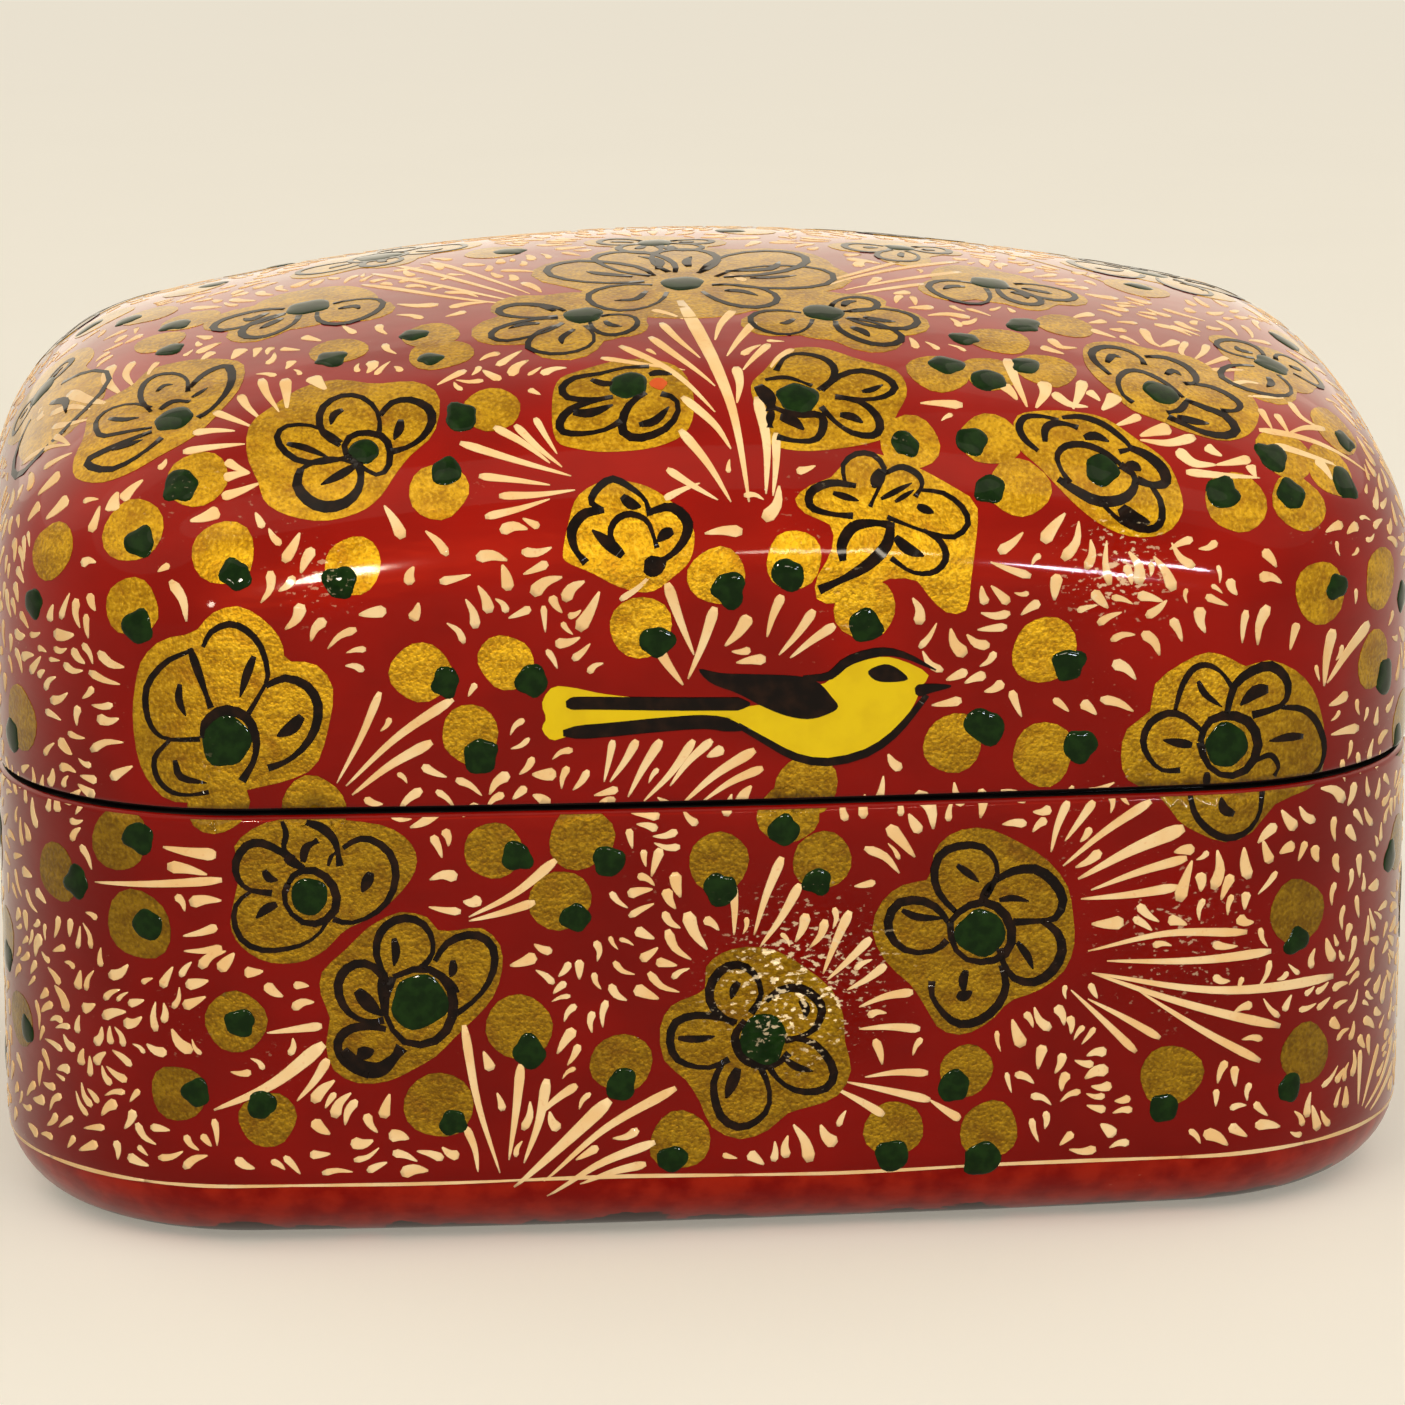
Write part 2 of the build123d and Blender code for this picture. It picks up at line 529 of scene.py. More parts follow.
# ---------------------------------------------------------------------------
# The painter's hand. The closed box is painted as one form, so marks run over
# the joint. Every mark is a thin coat with a thickness of its own, laid on the
# skin, and the joint is cut open again when the paint is dry.
# ---------------------------------------------------------------------------
# The skin is made of patches between neighbouring rings, from the crown down to the foot.
skin_points = [place for places, _ in lid_outside + tray_outside[::-1] for place in places]
skin_patches = []
for k in range(len(skin_points) - len(plan)):
    beside = k + 1 if (k + 1) % len(plan) else k + 1 - len(plan)
    skin_patches.append((k, k + len(plan), beside + len(plan), beside))
crown_middle = tuple(range(len(plan)))
skin = BVHTree.FromPolygons(skin_points, [*skin_patches, crown_middle])

# The middle of each patch, its area and the way it faces.
skin_faces = []
for patch in skin_patches:
    a, b, c, d = (skin_points[k] for k in patch)
    facing = (c - a).cross(d - b)
    skin_faces.append(((a + b + c + d) / 4, facing.length / 2, facing.normalized()))

hand = random.Random(11)
view_middle = (702, 640)
draw_in = 60  # steps from the edge of the view to its middle
brush_stride = 2.5 * mm
paint_root = 0.03 * mm  # how far every mark reaches into the skin
bank = 0.88  # width of a stroke's top as a share of its foot
least_load = 0.35  # share of its thickness that a stroke keeps where it thins to nothing
full_load = 0.5 * mm  # half width over which it would gain its whole thickness
rim_clear = 0.45 * mm  # kept bare along the sawn rims
# How far round a stroke, and round the edge and middle of a dab, counts as painted.
stroke_reach = 0.12 * mm
edge_reach = 0.8 * mm
middle_reach = 1.1 * mm


def seen_at(across, down):
    """The place on the skin that shows here in the square view, and the way it faces."""
    for pull in range(draw_in):
        # A place just off the edge is drawn in towards the middle until it meets the box.
        inward = pull / draw_in
        x = across + (view_middle[0] - across) * inward - view_side / 2
        y = down + (view_middle[1] - down) * inward - view_side / 2
        ray = looking + view_right * (x / lens_points) - view_up * (y / lens_points)
        place, facing, _, _ = skin.ray_cast(eye, ray.normalized())
        if place is not None:
            return place, facing


def on_box(stops):
    """The places on the skin that show at these places in the square view."""
    return [seen_at(*stop)[0] for stop in stops]


def touch(point):
    """The nearest place on the skin, and the way it faces."""
    place, facing, _, _ = skin.find_nearest(point)
    return place, facing


def bearing(facing, angle):
    """The direction along the skin at this angle round a place."""
    east = facing.orthogonal().normalized()
    return east * cos(angle) + facing.cross(east) * sin(angle)


def over(start, toward, distance):
    """Where the brush arrives when it goes this far over the skin."""
    place, facing = start
    steps = max(1, round(distance / brush_stride))
    for _ in range(steps):
        toward = (toward - facing * toward.dot(facing)).normalized()
        place, facing = touch(place + toward * (distance / steps))
    return place, facing


def through(stops, share):
    """A place on the smooth line through these stops."""
    span = share * (len(stops) - 1)
    i = min(int(span), len(stops) - 2)
    t = span - i
    b, c = stops[i], stops[i + 1]
    a = stops[i - 1] if i else b * 2 - c
    d = stops[i + 2] if i + 2 < len(stops) else c * 2 - b
    return (b * 2 + (c - a) * t + (a * 2 - b * 5 + c * 4 - d) * t**2 + (b * 3 - a - c * 3 + d) * t**3) / 2


def dab_of(bm):
    """Keeps a form of mark, to be bent over the skin again and again."""
    for face in bm.faces:
        face.smooth = True
    mesh = bpy.data.meshes.new("dab")
    bm.to_mesh(mesh)
    bm.free()
    return mesh


def pull_of_brush(steps):
    """A straight bar, 0 to 1 along, -1 to 1 across and 0 to 1 up, that strokes are bent from."""
    bm = bmesh.new()
    bmesh.ops.create_cube(bm, size=1)
    for vert in bm.verts:
        vert.co = (vert.co.x + 0.5, vert.co.y * 2, vert.co.z + 0.5)
    long_edges = [e for e in bm.edges if abs(e.verts[0].co.x - e.verts[1].co.x) > 0.5]
    bmesh.ops.subdivide_edges(bm, edges=long_edges, cuts=steps - 1, use_grid_fill=True)
    for edge in bm.edges:
        top = all(v.co.z > 0.5 for v in edge.verts)
        edge.smooth = not (top and edge.verts[0].co.y == edge.verts[1].co.y)
    return dab_of(bm)


def dab(segments, profile):
    """A round dab of paint spun from its profile of (share of the radius, share of the height)."""
    bm = bmesh.new()
    tip = bmesh.ops.create_vert(bm, co=(profile[0][0], 0, profile[0][1]))["vert"]
    for out, up in profile[1:]:
        tip = bmesh.ops.extrude_vert_indiv(bm, verts=tip)["verts"]
        tip[0].co = (out, 0, up)
    strip = list(bm.verts) + list(bm.edges)
    bmesh.ops.spin(bm, geom=strip, axis=(0, 0, 1), cent=(0, 0, 0), steps=segments, angle=tau, use_merge=True)
    bmesh.ops.remove_doubles(bm, verts=bm.verts, dist=1e-5)
    bmesh.ops.recalc_face_normals(bm, faces=bm.faces)
    for edge in bm.edges:
        rim = [hypot(v.co.x, v.co.y) > 0.995 and v.co.z > 0.99 for v in edge.verts]
        edge.smooth = not all(rim)
    return dab_of(bm)


short_steps, long_steps = 6, 14
short_pull = pull_of_brush(short_steps)
long_pull = pull_of_brush(long_steps)
flat_dab = dab(18, ((0, 1), (0.55, 1), (1, 1), (1.01, 0), (0, 0)))
broad_dab = dab(44, ((0, 1), (0.18, 1), (0.36, 1), (0.54, 1), (0.7, 1), (0.86, 1), (1, 1), (1.01, 0), (0, 0)))
round_dab = dab(24, ((0, 1), (0.5, 0.88), (0.8, 0.58), (0.95, 0.25), (1, 0), (0, 0)))


class Paint:
    """One colour in the painter's saucer, and the marks made with it."""

    def __init__(self, finish, thickness, lies_on=0.0):
        self.finish = finish
        self.thickness = thickness * mm
        self.lies_on = lies_on * mm
        self.marks = []

    def lift(self, up, load=1.0):
        """How far off the skin a part of a mark lies, from its height in the form, 0 to 1."""
        return self.lies_on + self.thickness * up * load if up > 0.001 else -paint_root

    def stroke(self, stops, width, shape, bar=short_pull):
        """A pull of the brush through these places. Shape gives the share of the width along it."""
        steps = short_steps if bar is short_pull else long_steps
        path = [touch(through(stops, i / steps)) for i in range(steps + 1)]
        stations = []
        for i, (place, facing) in enumerate(path):
            ahead = path[min(i + 1, steps)][0] - path[max(i - 1, 0)][0]
            side = facing.cross(ahead).normalized()
            half = width * mm / 2 * shape(i / steps)
            stations.append((place, side * half, min(1.0, least_load + half / full_load)))
        places = []
        for vert in bar.vertices:
            along, across, up = vert.co
            place, side, load = stations[round(along * steps)]
            on_skin, facing = touch(place + side * (across * (bank if up > 0.5 else 1.0)))
            places.append(on_skin + facing * self.lift(up, load))
        self.marks.append((bar, places))
        for place, side, _ in stations:
            ground.take(place, side.length + stroke_reach)

    def blot(self, middle, reach, form=flat_dab):
        """A dab spread round the middle. Reach gives how far it goes in each direction."""
        place, facing = middle
        places = []
        for vert in form.vertices:
            angle = atan2(vert.co.y, vert.co.x)
            share = hypot(vert.co.x, vert.co.y)
            if share < 0.001:
                on_skin, way = middle
            else:
                toward = bearing(facing, angle)
                on_skin, way = over(middle, toward, reach(toward, angle) * share)
            places.append(on_skin + way * self.lift(vert.co.z))
            if share > 0.5:
                ground.take(on_skin, edge_reach)
        ground.take(place, middle_reach)
        self.marks.append((form, places))

    def cutout(self, outline, middle, form=broad_dab):
        """A filled shape, given by places round its outline in the square view."""
        places = []
        ring = [Vector(stop) for stop in outline]
        ring = ring[-1:] + ring + ring[:2]
        inside = Vector(middle)
        for vert in form.vertices:
            turn = (atan2(vert.co.y, vert.co.x) / tau) % 1.0
            share = min(1.0, hypot(vert.co.x, vert.co.y))
            edge = through(ring, (1 + turn * len(outline)) / (len(ring) - 1))
            on_skin, way = seen_at(*(inside + (edge - inside) * share))
            places.append(on_skin + way * self.lift(vert.co.z))
            ground.take(on_skin, edge_reach)
        self.marks.append((form, places))

    def dry(self, name, body):
        """Gathers the marks on one half of the box and cuts them at its rim."""
        upper = body == "lid"
        rim = lid_bottom + rim_clear if upper else tray_height - rim_clear
        bm = bmesh.new()
        places = []
        for form, mark in self.marks:
            heights = [p.z for p in mark]
            if (max(heights) > rim) if upper else (min(heights) < rim):
                bm.from_mesh(form)
                places += mark
        for vert, place in zip(bm.verts, places):
            vert.co = place
        bm.normal_update()
        geometry = bm.verts[:] + bm.edges[:] + bm.faces[:]
        cut = bmesh.ops.bisect_plane(
            bm, geom=geometry, plane_co=(0, 0, rim), plane_no=(0, 0, -1 if upper else 1), clear_outer=True
        )["geom_cut"]
        open_edges = [e for e in cut if isinstance(e, bmesh.types.BMEdge) and e.is_boundary]
        bmesh.ops.holes_fill(bm, edges=open_edges, sides=0)
        bmesh.ops.recalc_face_normals(bm, faces=bm.faces)
        piece(name, bm, (self.finish,), body)


cell_side = 3 * mm


class Ground:
    """What is already painted, so that later marks keep clear of it."""

    def __init__(self):
        self.cells = {}

    def cell(self, point):
        """The small cube of room that holds this place."""
        return tuple(int(c // cell_side) for c in point)

    def take(self, place, radius):
        """Notes that this place is painted, and how far round it."""
        self.cells.setdefault(self.cell(place), []).append((place, radius))

    def is_free(self, point, clearance):
        """Whether nothing painted lies nearer than this."""
        x, y, z = self.cell(point)
        for i in (x - 1, x, x + 1):
            for j in (y - 1, y, y + 1):
                for k in (z - 1, z, z + 1):
                    for place, radius in self.cells.get((i, j, k), ()):
                        if (place - point).length < radius + clearance:
                            return False
        return True


ground = Ground()


# ---------------------------------------------------------------------------
# Gold: bronze powder in gum, laid first as loose round patches under every
# flower and bud. It shows grainy where the varnish catches the light.
# ---------------------------------------------------------------------------
old_gold = (0.350, 0.175, 0.002)
full_gold = (0.560, 0.315, 0.007)
powder_glint = (0.850, 0.530, 0.040)
powder_gap = (0.170, 0.070, 0.003)
thinned_gold = (0.290, 0.105, 0.005)
# Painted shade: the gold is painted darker low on the box.
gold_in_painted_shade = (0.030, 0.014, 0.001)
gold_painted_shade_below = (42.0 * mm, 68.0 * mm)

gold_paint = Finish("gold_paint", roughness=0.42, coat=1.0, coat_roughness=0.06, metallic=0.62)
powder = gold_paint.grain(0.40, detail=1.0)
pulls = gold_paint.grain(1.7, detail=3.0, stretch=(0.5, 0.5, 1.0), seed=3.0)
thin = gold_paint.grain(3.4, detail=3.0, seed=6.0)
brushed_gold = gold_paint.blend(pulls.step(0.30, 0.70), old_gold, full_gold)
glinting_gold = gold_paint.blend(powder.step(0.50, 0.72) * 0.35, brushed_gold, powder_glint)
grainy_gold = gold_paint.blend((1.0 - powder.step(0.30, 0.48)) * 0.45, glinting_gold, powder_gap)
patchy_gold = gold_paint.blend(thin.step(0.50, 0.78) * 0.55, grainy_gold, thinned_gold)
# Painted shade: darker gold below the shoulder.
painted_shade_on_gold = (1.0 - gold_paint.height().step(*gold_painted_shade_below)) * 0.58
gold_paint.varnished(gold_paint.blend(painted_shade_on_gold, patchy_gold, gold_in_painted_shade))
gold_paint.roughness(0.32 + powder * 0.24)
gold_paint.relief((powder + pulls * 0.6) * 0.11)
gold = Paint(gold_paint, thickness=0.05)


# ---------------------------------------------------------------------------
# Black outlines: thin lamp black from a fine brush. Each petal is one loop
# from the heart and back, with a short tick inside it.
# ---------------------------------------------------------------------------
lamp_black = (0.006, 0.003, 0.002)
thinned_black = (0.020, 0.008, 0.004)
over_gold = 0.055  # millimetres: lines lie on the gold's coat

black_paint = Finish("black_paint", roughness=0.35, coat=1.0, coat_roughness=0.05)
ink = black_paint.grain(1.6, detail=3.0)
black_paint.varnished(black_paint.blend(ink.step(0.40, 0.75), lamp_black, thinned_black))
black_paint.relief(ink * 0.01)
lines = Paint(black_paint, thickness=0.04, lies_on=over_gold)


# ---------------------------------------------------------------------------
# Green hearts and bud tips: thick dark green, dropped on over the gold so that
# it stands up in a bead.
# ---------------------------------------------------------------------------
deep_green = (0.003, 0.017, 0.001)
lighter_green = (0.008, 0.032, 0.003)

green_paint = Finish("green_paint", roughness=0.30, coat=1.0, coat_roughness=0.04)
pool = green_paint.grain(1.2, detail=2.0)
green_paint.varnished(green_paint.blend(pool.step(0.35, 0.70), deep_green, lighter_green))
green_paint.relief(pool * 0.02)
green = Paint(green_paint, thickness=0.20)


# ---------------------------------------------------------------------------
# Cream: leaf sprays and the small commas that fill the ground, each pressed
# down blunt and lifted to a point.
# ---------------------------------------------------------------------------
yellow_cream = (0.930, 0.610, 0.270)
pale_cream = (1.000, 0.760, 0.420)
thin_cream = (0.780, 0.300, 0.110)
cream_thickness = 0.06

cream_paint = Finish("cream_paint", roughness=0.40, coat=1.0, coat_roughness=0.05)
hair = cream_paint.grain(0.5, detail=3.0)
body_colour = cream_paint.grain(5.0, detail=2.0, seed=5.0)
cream_tone = cream_paint.blend(body_colour.step(0.3, 0.7), yellow_cream, pale_cream)
cream_paint.varnished(cream_paint.blend(hair.step(0.58, 0.82) * 0.40, cream_tone, thin_cream))
cream_paint.relief(hair * 0.01)
cream = Paint(cream_paint, cream_thickness)


# ---------------------------------------------------------------------------
# Flowers, front and top: a loose patch of gold, petals drawn on it in black and
# a green heart. Those on the top are (place of the heart, its half width in
# millimetres, places of the petal tips). The rest are drawn line by line.
# ---------------------------------------------------------------------------
flowers = []  # every flower's middle and how far it reaches
narrowest, broadest = 0.27, 0.47  # half breadths of a petal, as shares of its length
petal_line, ring_line = 0.88, 0.7  # widths of the brush line, in millimetres


def loop_width(share):
    """Full in the middle and a little thinner at both ends."""
    return 0.62 + 0.38 * sin(pi * share)


def uneven(share):
    """A line of changing weight, as a brush held by hand gives."""
    return 0.50 + 0.50 * abs(sin(pi * (share * 1.15 + 0.05)))


def leaf(share):
    """A stroke that swells and then thins."""
    return 0.16 + 0.84 * sin(pi * min(1.0, 0.12 + 0.88 * share)) ** 0.8


def round_blot(radius, looseness=0.22, turns=0.8):
    """The loose outline of a round dab."""
    seed = hand.uniform(0, 50)
    return lambda toward, angle: radius * (
        1 + looseness * noise.noise(Vector((cos(angle) * turns, sin(angle) * turns, seed)))
    )


def lobed(middle, tips, margin):
    """The loose outline of a gold patch that reaches past every petal."""
    place, facing = middle
    arms = []
    for tip in tips:
        arm = tip - place
        arms.append(((arm - facing * arm.dot(facing)).normalized(), arm.length + margin))
    core = 0.66 * sum(length for _, length in arms) / len(arms)
    seed = hand.uniform(0, 50)

    def reach(toward, angle):
        out = core
        for way, length in arms:
            apart = toward.angle(way)
            out = max(out, length * exp(-((apart / 0.75) ** 2.4)))
        return out + noise.noise(Vector((cos(angle) * 1.1, sin(angle) * 1.1, seed))) * 1.2 * mm

    return reach


def ring(middle, rim):
    """A closed loop drawn round the heart."""
    stops = []
    for i in range(11):
        angle = tau * i / 10
        toward = bearing(middle[1], angle)
        stops.append(over(middle, toward, rim(toward, angle))[0])
    lines.stroke(stops, ring_line, loop_width, long_pull)


def petal(middle, tip, breadth):
    """One loop out from the heart and back, and the tick inside it."""
    place, facing = middle
    axis = tip - place
    side = facing.cross(axis)
    breadth *= hand.uniform(0.82, 1.22)
    lean = hand.uniform(-0.18, 0.18)
    stops = []
    gap = hand.uniform(0.35, 0.60)
    for i in range(9):
        turn = (pi - gap) * (i / 4 - 1)
        along = 0.61 + 0.39 * cos(turn)
        across = breadth * sin(turn) * (0.62 + 0.38 * along) * hand.uniform(0.94, 1.06)
        stops.append(place + axis * along + side * (across + lean * along))
    weight = petal_line * hand.uniform(0.80, 1.25)
    lines.stroke(stops, weight, uneven, long_pull)
    near, far = hand.uniform(0.36, 0.46), hand.uniform(0.68, 0.80)
    drift = hand.uniform(-0.14, 0.14)
    tick = [place + axis * near, place + axis * 0.6 + side * drift, place + axis * far + side * drift * 0.4]
    lines.stroke(tick, weight * 1.15, leaf)


def flower(middle, tips, heart, ringed=False, margin=1.3):
    """Gold patch, petals as broad as the gaps between them allow, and a green heart."""
    place, facing = middle
    gold.blot(middle, lobed(middle, tips, margin * mm), broad_dab)
    arms = [tip - place for tip in tips]
    arms = [(arm - facing * arm.dot(facing)).normalized() for arm in arms]
    for i, tip in enumerate(tips):
        gap = min(arms[i].angle(other) for j, other in enumerate(arms) if j != i)
        petal(middle, tip, min(broadest, max(narrowest, 0.64 * tan(gap / 2))))
    green.blot(middle, round_blot(heart * mm, 0.30, 1.2), round_dab)
    if ringed:
        ring(middle, round_blot((heart + 0.45) * mm, 0.14))
    flowers.append((place, max((tip - place).length for tip in tips) + margin * mm))


lid_flowers = (
    ((309, 307), 2.4, ((214, 323), (244, 337), (375, 313))),
    ((583, 316), 2.2, ((506, 305), (488, 334), (559, 355), (634, 329))),
    ((682, 284), 2.4, ((548, 268), (592, 304), (620, 252), (697, 250), (800, 255), (832, 274), (778, 301))),
    ((824, 313), 2.3, ((757, 328), (869, 299), (917, 325), (884, 347))),
    ((990, 283), 2.2, ((1075, 299), (1036, 305), (933, 293))),
    ((900, 248), 1.8, ((846, 248), (950, 253), (905, 262))),
    ((655, 243), 2.0, ((598, 243), (625, 252), (690, 251), (712, 243))),
    ((1272, 365), 2.2, ((1225, 340), (1310, 372), (1262, 395))),
    ((42, 392), 2.2, ((72, 360), (14, 430), (70, 425))),
)
for heart_place, heart, tip_places in lid_flowers:
    flower(seen_at(*heart_place), on_box(tip_places), heart)


def drawn_flower(patch, middle, strokes, ticks, hearts=()):
    """A flower whose every line has its own place: gold outline, loops, ticks and green hearts."""
    gold.cutout(patch, middle)
    for weight, *stops in strokes:
        lines.stroke(on_box(stops), weight, uneven, long_pull)
    for weight, *stops in ticks:
        lines.stroke(on_box(stops), weight, leaf)
    for place, radius in hearts:
        green.blot(seen_at(*place), round_blot(radius * mm, 0.25, 1.2), round_dab)
    centre, _ = seen_at(*middle)
    reach = max((edge - centre).length for edge in on_box(patch))
    flowers.append((centre, reach * 0.93))


# Four on the tray's front: the first pair crowd together at the left.
drawn_flower(
    patch=(
        (233, 905), (240, 870), (235, 845), (262, 824), (300, 818), (345, 820), (388, 827), (412, 845),
        (416, 868), (400, 893), (372, 917), (345, 930), (325, 950), (300, 962), (268, 962), (243, 948),
        (231, 928),
    ),
    middle=(318, 890),
    strokes=(
        (1.0, (304, 868), (283, 853), (262, 843), (246, 846), (236, 862), (238, 879), (250, 890), (272, 893)),
        (0.7, (250, 892), (237, 903), (234, 922), (243, 941), (262, 950), (285, 949), (306, 943), (322, 930),
         (328, 916)),
        (0.9, (343, 848), (358, 839), (375, 841), (391, 855), (396, 876), (389, 899), (372, 915), (350, 923),
         (333, 919)),
        (1.1, (306, 822), (322, 828), (335, 842), (340, 866)),
        (0.7, (282, 821), (286, 834), (284, 848), (294, 858)),
        (1.0, (303, 862), (306, 848), (318, 840)),
        (0.5, (328, 866), (331, 857), (336, 852)),
        (1.0, (288, 884), (296, 873), (312, 870), (327, 878), (336, 893), (335, 910), (322, 922), (305, 923),
         (290, 912), (284, 897), (288, 884)),
    ),
    ticks=(
        (1.3, (371, 872), (367, 882), (362, 892)), (1.1, (277, 904), (266, 909), (256, 918)),
        (1.0, (264, 870), (269, 878), (278, 880)), (1.2, (285, 857), (293, 862), (303, 869)),
    ),
    hearts=(((309, 896), 2.05),),
)  # fmt: skip
drawn_flower(
    patch=(
        (322, 972), (345, 950), (362, 933), (375, 923), (400, 912), (427, 917), (438, 930), (458, 930),
        (482, 928), (500, 945), (502, 970), (493, 997), (476, 1017), (455, 1037), (436, 1056), (412, 1070),
        (388, 1081), (358, 1083), (334, 1070), (326, 1045), (330, 1018), (321, 995),
    ),
    middle=(415, 1000),
    strokes=(
        (1.0, (388, 982), (377, 958), (378, 938), (388, 924), (405, 918), (422, 923), (432, 938), (432, 955),
         (421, 968)),
        (1.0, (435, 961), (445, 945), (462, 936), (480, 936), (493, 948), (494, 968), (485, 988), (470, 1004),
         (452, 1016)),
        (1.1, (386, 984), (375, 968), (360, 963), (345, 970), (338, 985), (342, 1003), (353, 1016),
         (370, 1022), (384, 1020)),
        (1.1, (386, 1029), (366, 1026), (348, 1030), (338, 1042), (341, 1058), (353, 1070), (369, 1075)),
        (1.9, (343, 1050), (358, 1066), (378, 1070), (392, 1060), (402, 1047)),
        (1.3, (384, 972), (383, 990), (384, 1016)),
        (1.1, (393, 977), (420, 968), (440, 975), (452, 992), (453, 1012), (446, 1031), (430, 1043),
         (407, 1043), (391, 1027), (385, 1005), (393, 977)),
    ),
    ticks=(
        (1.0, (394, 938), (396, 952), (394, 966)), (1.0, (453, 960), (453, 970), (450, 977)),
        (1.7, (357, 990), (368, 1003), (381, 1015)), (1.6, (357, 1052), (365, 1053), (374, 1050)),
        (1.2, (440, 975), (450, 985), (459, 992)),
    ),
    hearts=(((420, 1001), 3.0),),
)  # fmt: skip
drawn_flower(
    patch=(
        (660, 1028), (671, 1006), (690, 997), (705, 988), (706, 967), (722, 953), (745, 947), (775, 950),
        (806, 968), (832, 990), (843, 1015), (845, 1042), (851, 1070), (838, 1095), (812, 1106), (788, 1113),
        (768, 1130), (740, 1139), (712, 1127), (700, 1102), (686, 1080), (664, 1060),
    ),
    middle=(757, 1042),
    strokes=(
        (1.0, (737, 1022), (712, 1016), (690, 1016), (674, 1024), (670, 1042), (676, 1058), (692, 1066),
         (712, 1067), (729, 1059)),
        (1.1, (735, 1024), (716, 1012), (709, 995), (714, 978), (728, 966), (744, 966), (757, 978),
         (761, 996), (751, 1013)),
        (1.1, (766, 1001), (780, 990), (800, 988), (816, 998), (822, 1011), (815, 1028), (800, 1037),
         (785, 1040)),
        (1.0, (793, 1038), (812, 1042), (828, 1058), (834, 1075), (826, 1088), (808, 1092), (790, 1088),
         (776, 1077), (769, 1066)),
        (1.0, (724, 1061), (714, 1080), (715, 1100), (722, 1118), (738, 1127), (755, 1122), (768, 1108),
         (769, 1088), (761, 1068)),
        (1.1, (745, 1020), (735, 1036), (741, 1055), (756, 1065), (775, 1065), (789, 1053)),
    ),
    ticks=(
        (0.9, (678, 1038), (698, 1039), (715, 1036)), (1.4, (738, 1068), (732, 1083), (726, 1098)),
        (0.9, (785, 1059), (797, 1067), (813, 1071)), (1.0, (739, 982), (734, 989), (731, 999)),
        (1.0, (800, 1000), (806, 1008), (805, 1018)),
    ),
    hearts=(((763, 1040), 2.8),),
)  # fmt: skip
drawn_flower(
    patch=(
        (872, 930), (883, 900), (905, 884), (929, 878), (935, 850), (955, 832), (985, 828), (1017, 841),
        (1046, 859), (1067, 885), (1073, 915), (1074, 945), (1063, 972), (1037, 991), (1010, 1001),
        (991, 1020), (965, 1034), (940, 1029), (925, 1006), (911, 985), (886, 962),
    ),
    middle=(978, 930),
    strokes=(
        (1.0, (956, 912), (940, 895), (934, 875), (940, 855), (958, 846), (980, 846), (994, 858), (997, 875),
         (986, 896)),
        (1.2, (996, 880), (1013, 871), (1035, 869), (1053, 881), (1063, 900), (1055, 918), (1035, 921),
         (1013, 922)),
        (1.2, (1041, 920), (1057, 932), (1062, 951), (1052, 971), (1034, 982), (1014, 978), (1003, 962),
         (1000, 948)),
        (1.1, (1001, 965), (1006, 985), (998, 1005), (980, 1020), (960, 1024), (944, 1014), (932, 996),
         (932, 981)),
        (1.1, (948, 922), (937, 908), (918, 900), (897, 904), (888, 922), (893, 940), (911, 952), (935, 950),
         (947, 940)),
        (1.2, (981, 902), (989, 888), (998, 878)),
        (1.1, (950, 922), (964, 908), (985, 902), (1003, 912), (1012, 932), (1007, 952), (990, 961),
         (968, 960), (953, 945), (950, 922)),
    ),
    ticks=(
        (0.9, (957, 865), (968, 873), (979, 882)), (0.8, (999, 900), (1013, 898), (1029, 901)),
        (0.9, (1017, 942), (1027, 955), (1033, 969)), (1.1, (966, 970), (963, 981), (964, 993)),
        (1.3, (957, 994), (964, 996), (972, 991)), (0.9, (902, 910), (918, 917), (946, 918)),
    ),
    hearts=(((979, 933), 2.6),),
)  # fmt: skip

# On the lid's left shoulder.
drawn_flower(
    patch=(
        (258, 482), (247, 455), (250, 425), (275, 405), (302, 388), (337, 380), (375, 384), (415, 382),
        (439, 397), (434, 433), (411, 455), (395, 475), (381, 496), (360, 512), (325, 521), (290, 516),
        (266, 503),
    ),
    middle=(350, 447),
    strokes=(
        (0.8, (352, 456), (327, 462), (302, 462), (284, 451), (277, 437), (285, 427), (305, 425), (325, 431),
         (341, 443)),
        (0.9, (340, 446), (325, 436), (319, 420), (325, 405), (342, 396), (360, 397), (375, 408), (380, 424),
         (378, 436)),
        (1.1, (380, 416), (392, 403), (410, 400), (428, 408), (432, 422), (422, 438), (406, 448), (391, 452)),
        (1.4, (301, 469), (297, 485), (308, 500), (325, 507), (345, 503), (358, 490), (361, 475), (358, 463)),
        (0.7, (300, 470), (315, 462), (335, 459), (354, 463)),
        (0.9, (352, 460), (344, 450), (350, 437), (365, 433), (383, 437), (390, 450), (388, 468), (377, 475),
         (363, 468), (352, 460)),
    ),
    ticks=(
        (1.0, (343, 410), (334, 415), (331, 425)), (0.9, (287, 444), (305, 448), (329, 458)),
        (1.1, (355, 466), (340, 475), (321, 485)), (1.1, (401, 420), (399, 430), (394, 440)),
    ),
    hearts=(((364, 451), 1.6),),
)  # fmt: skip
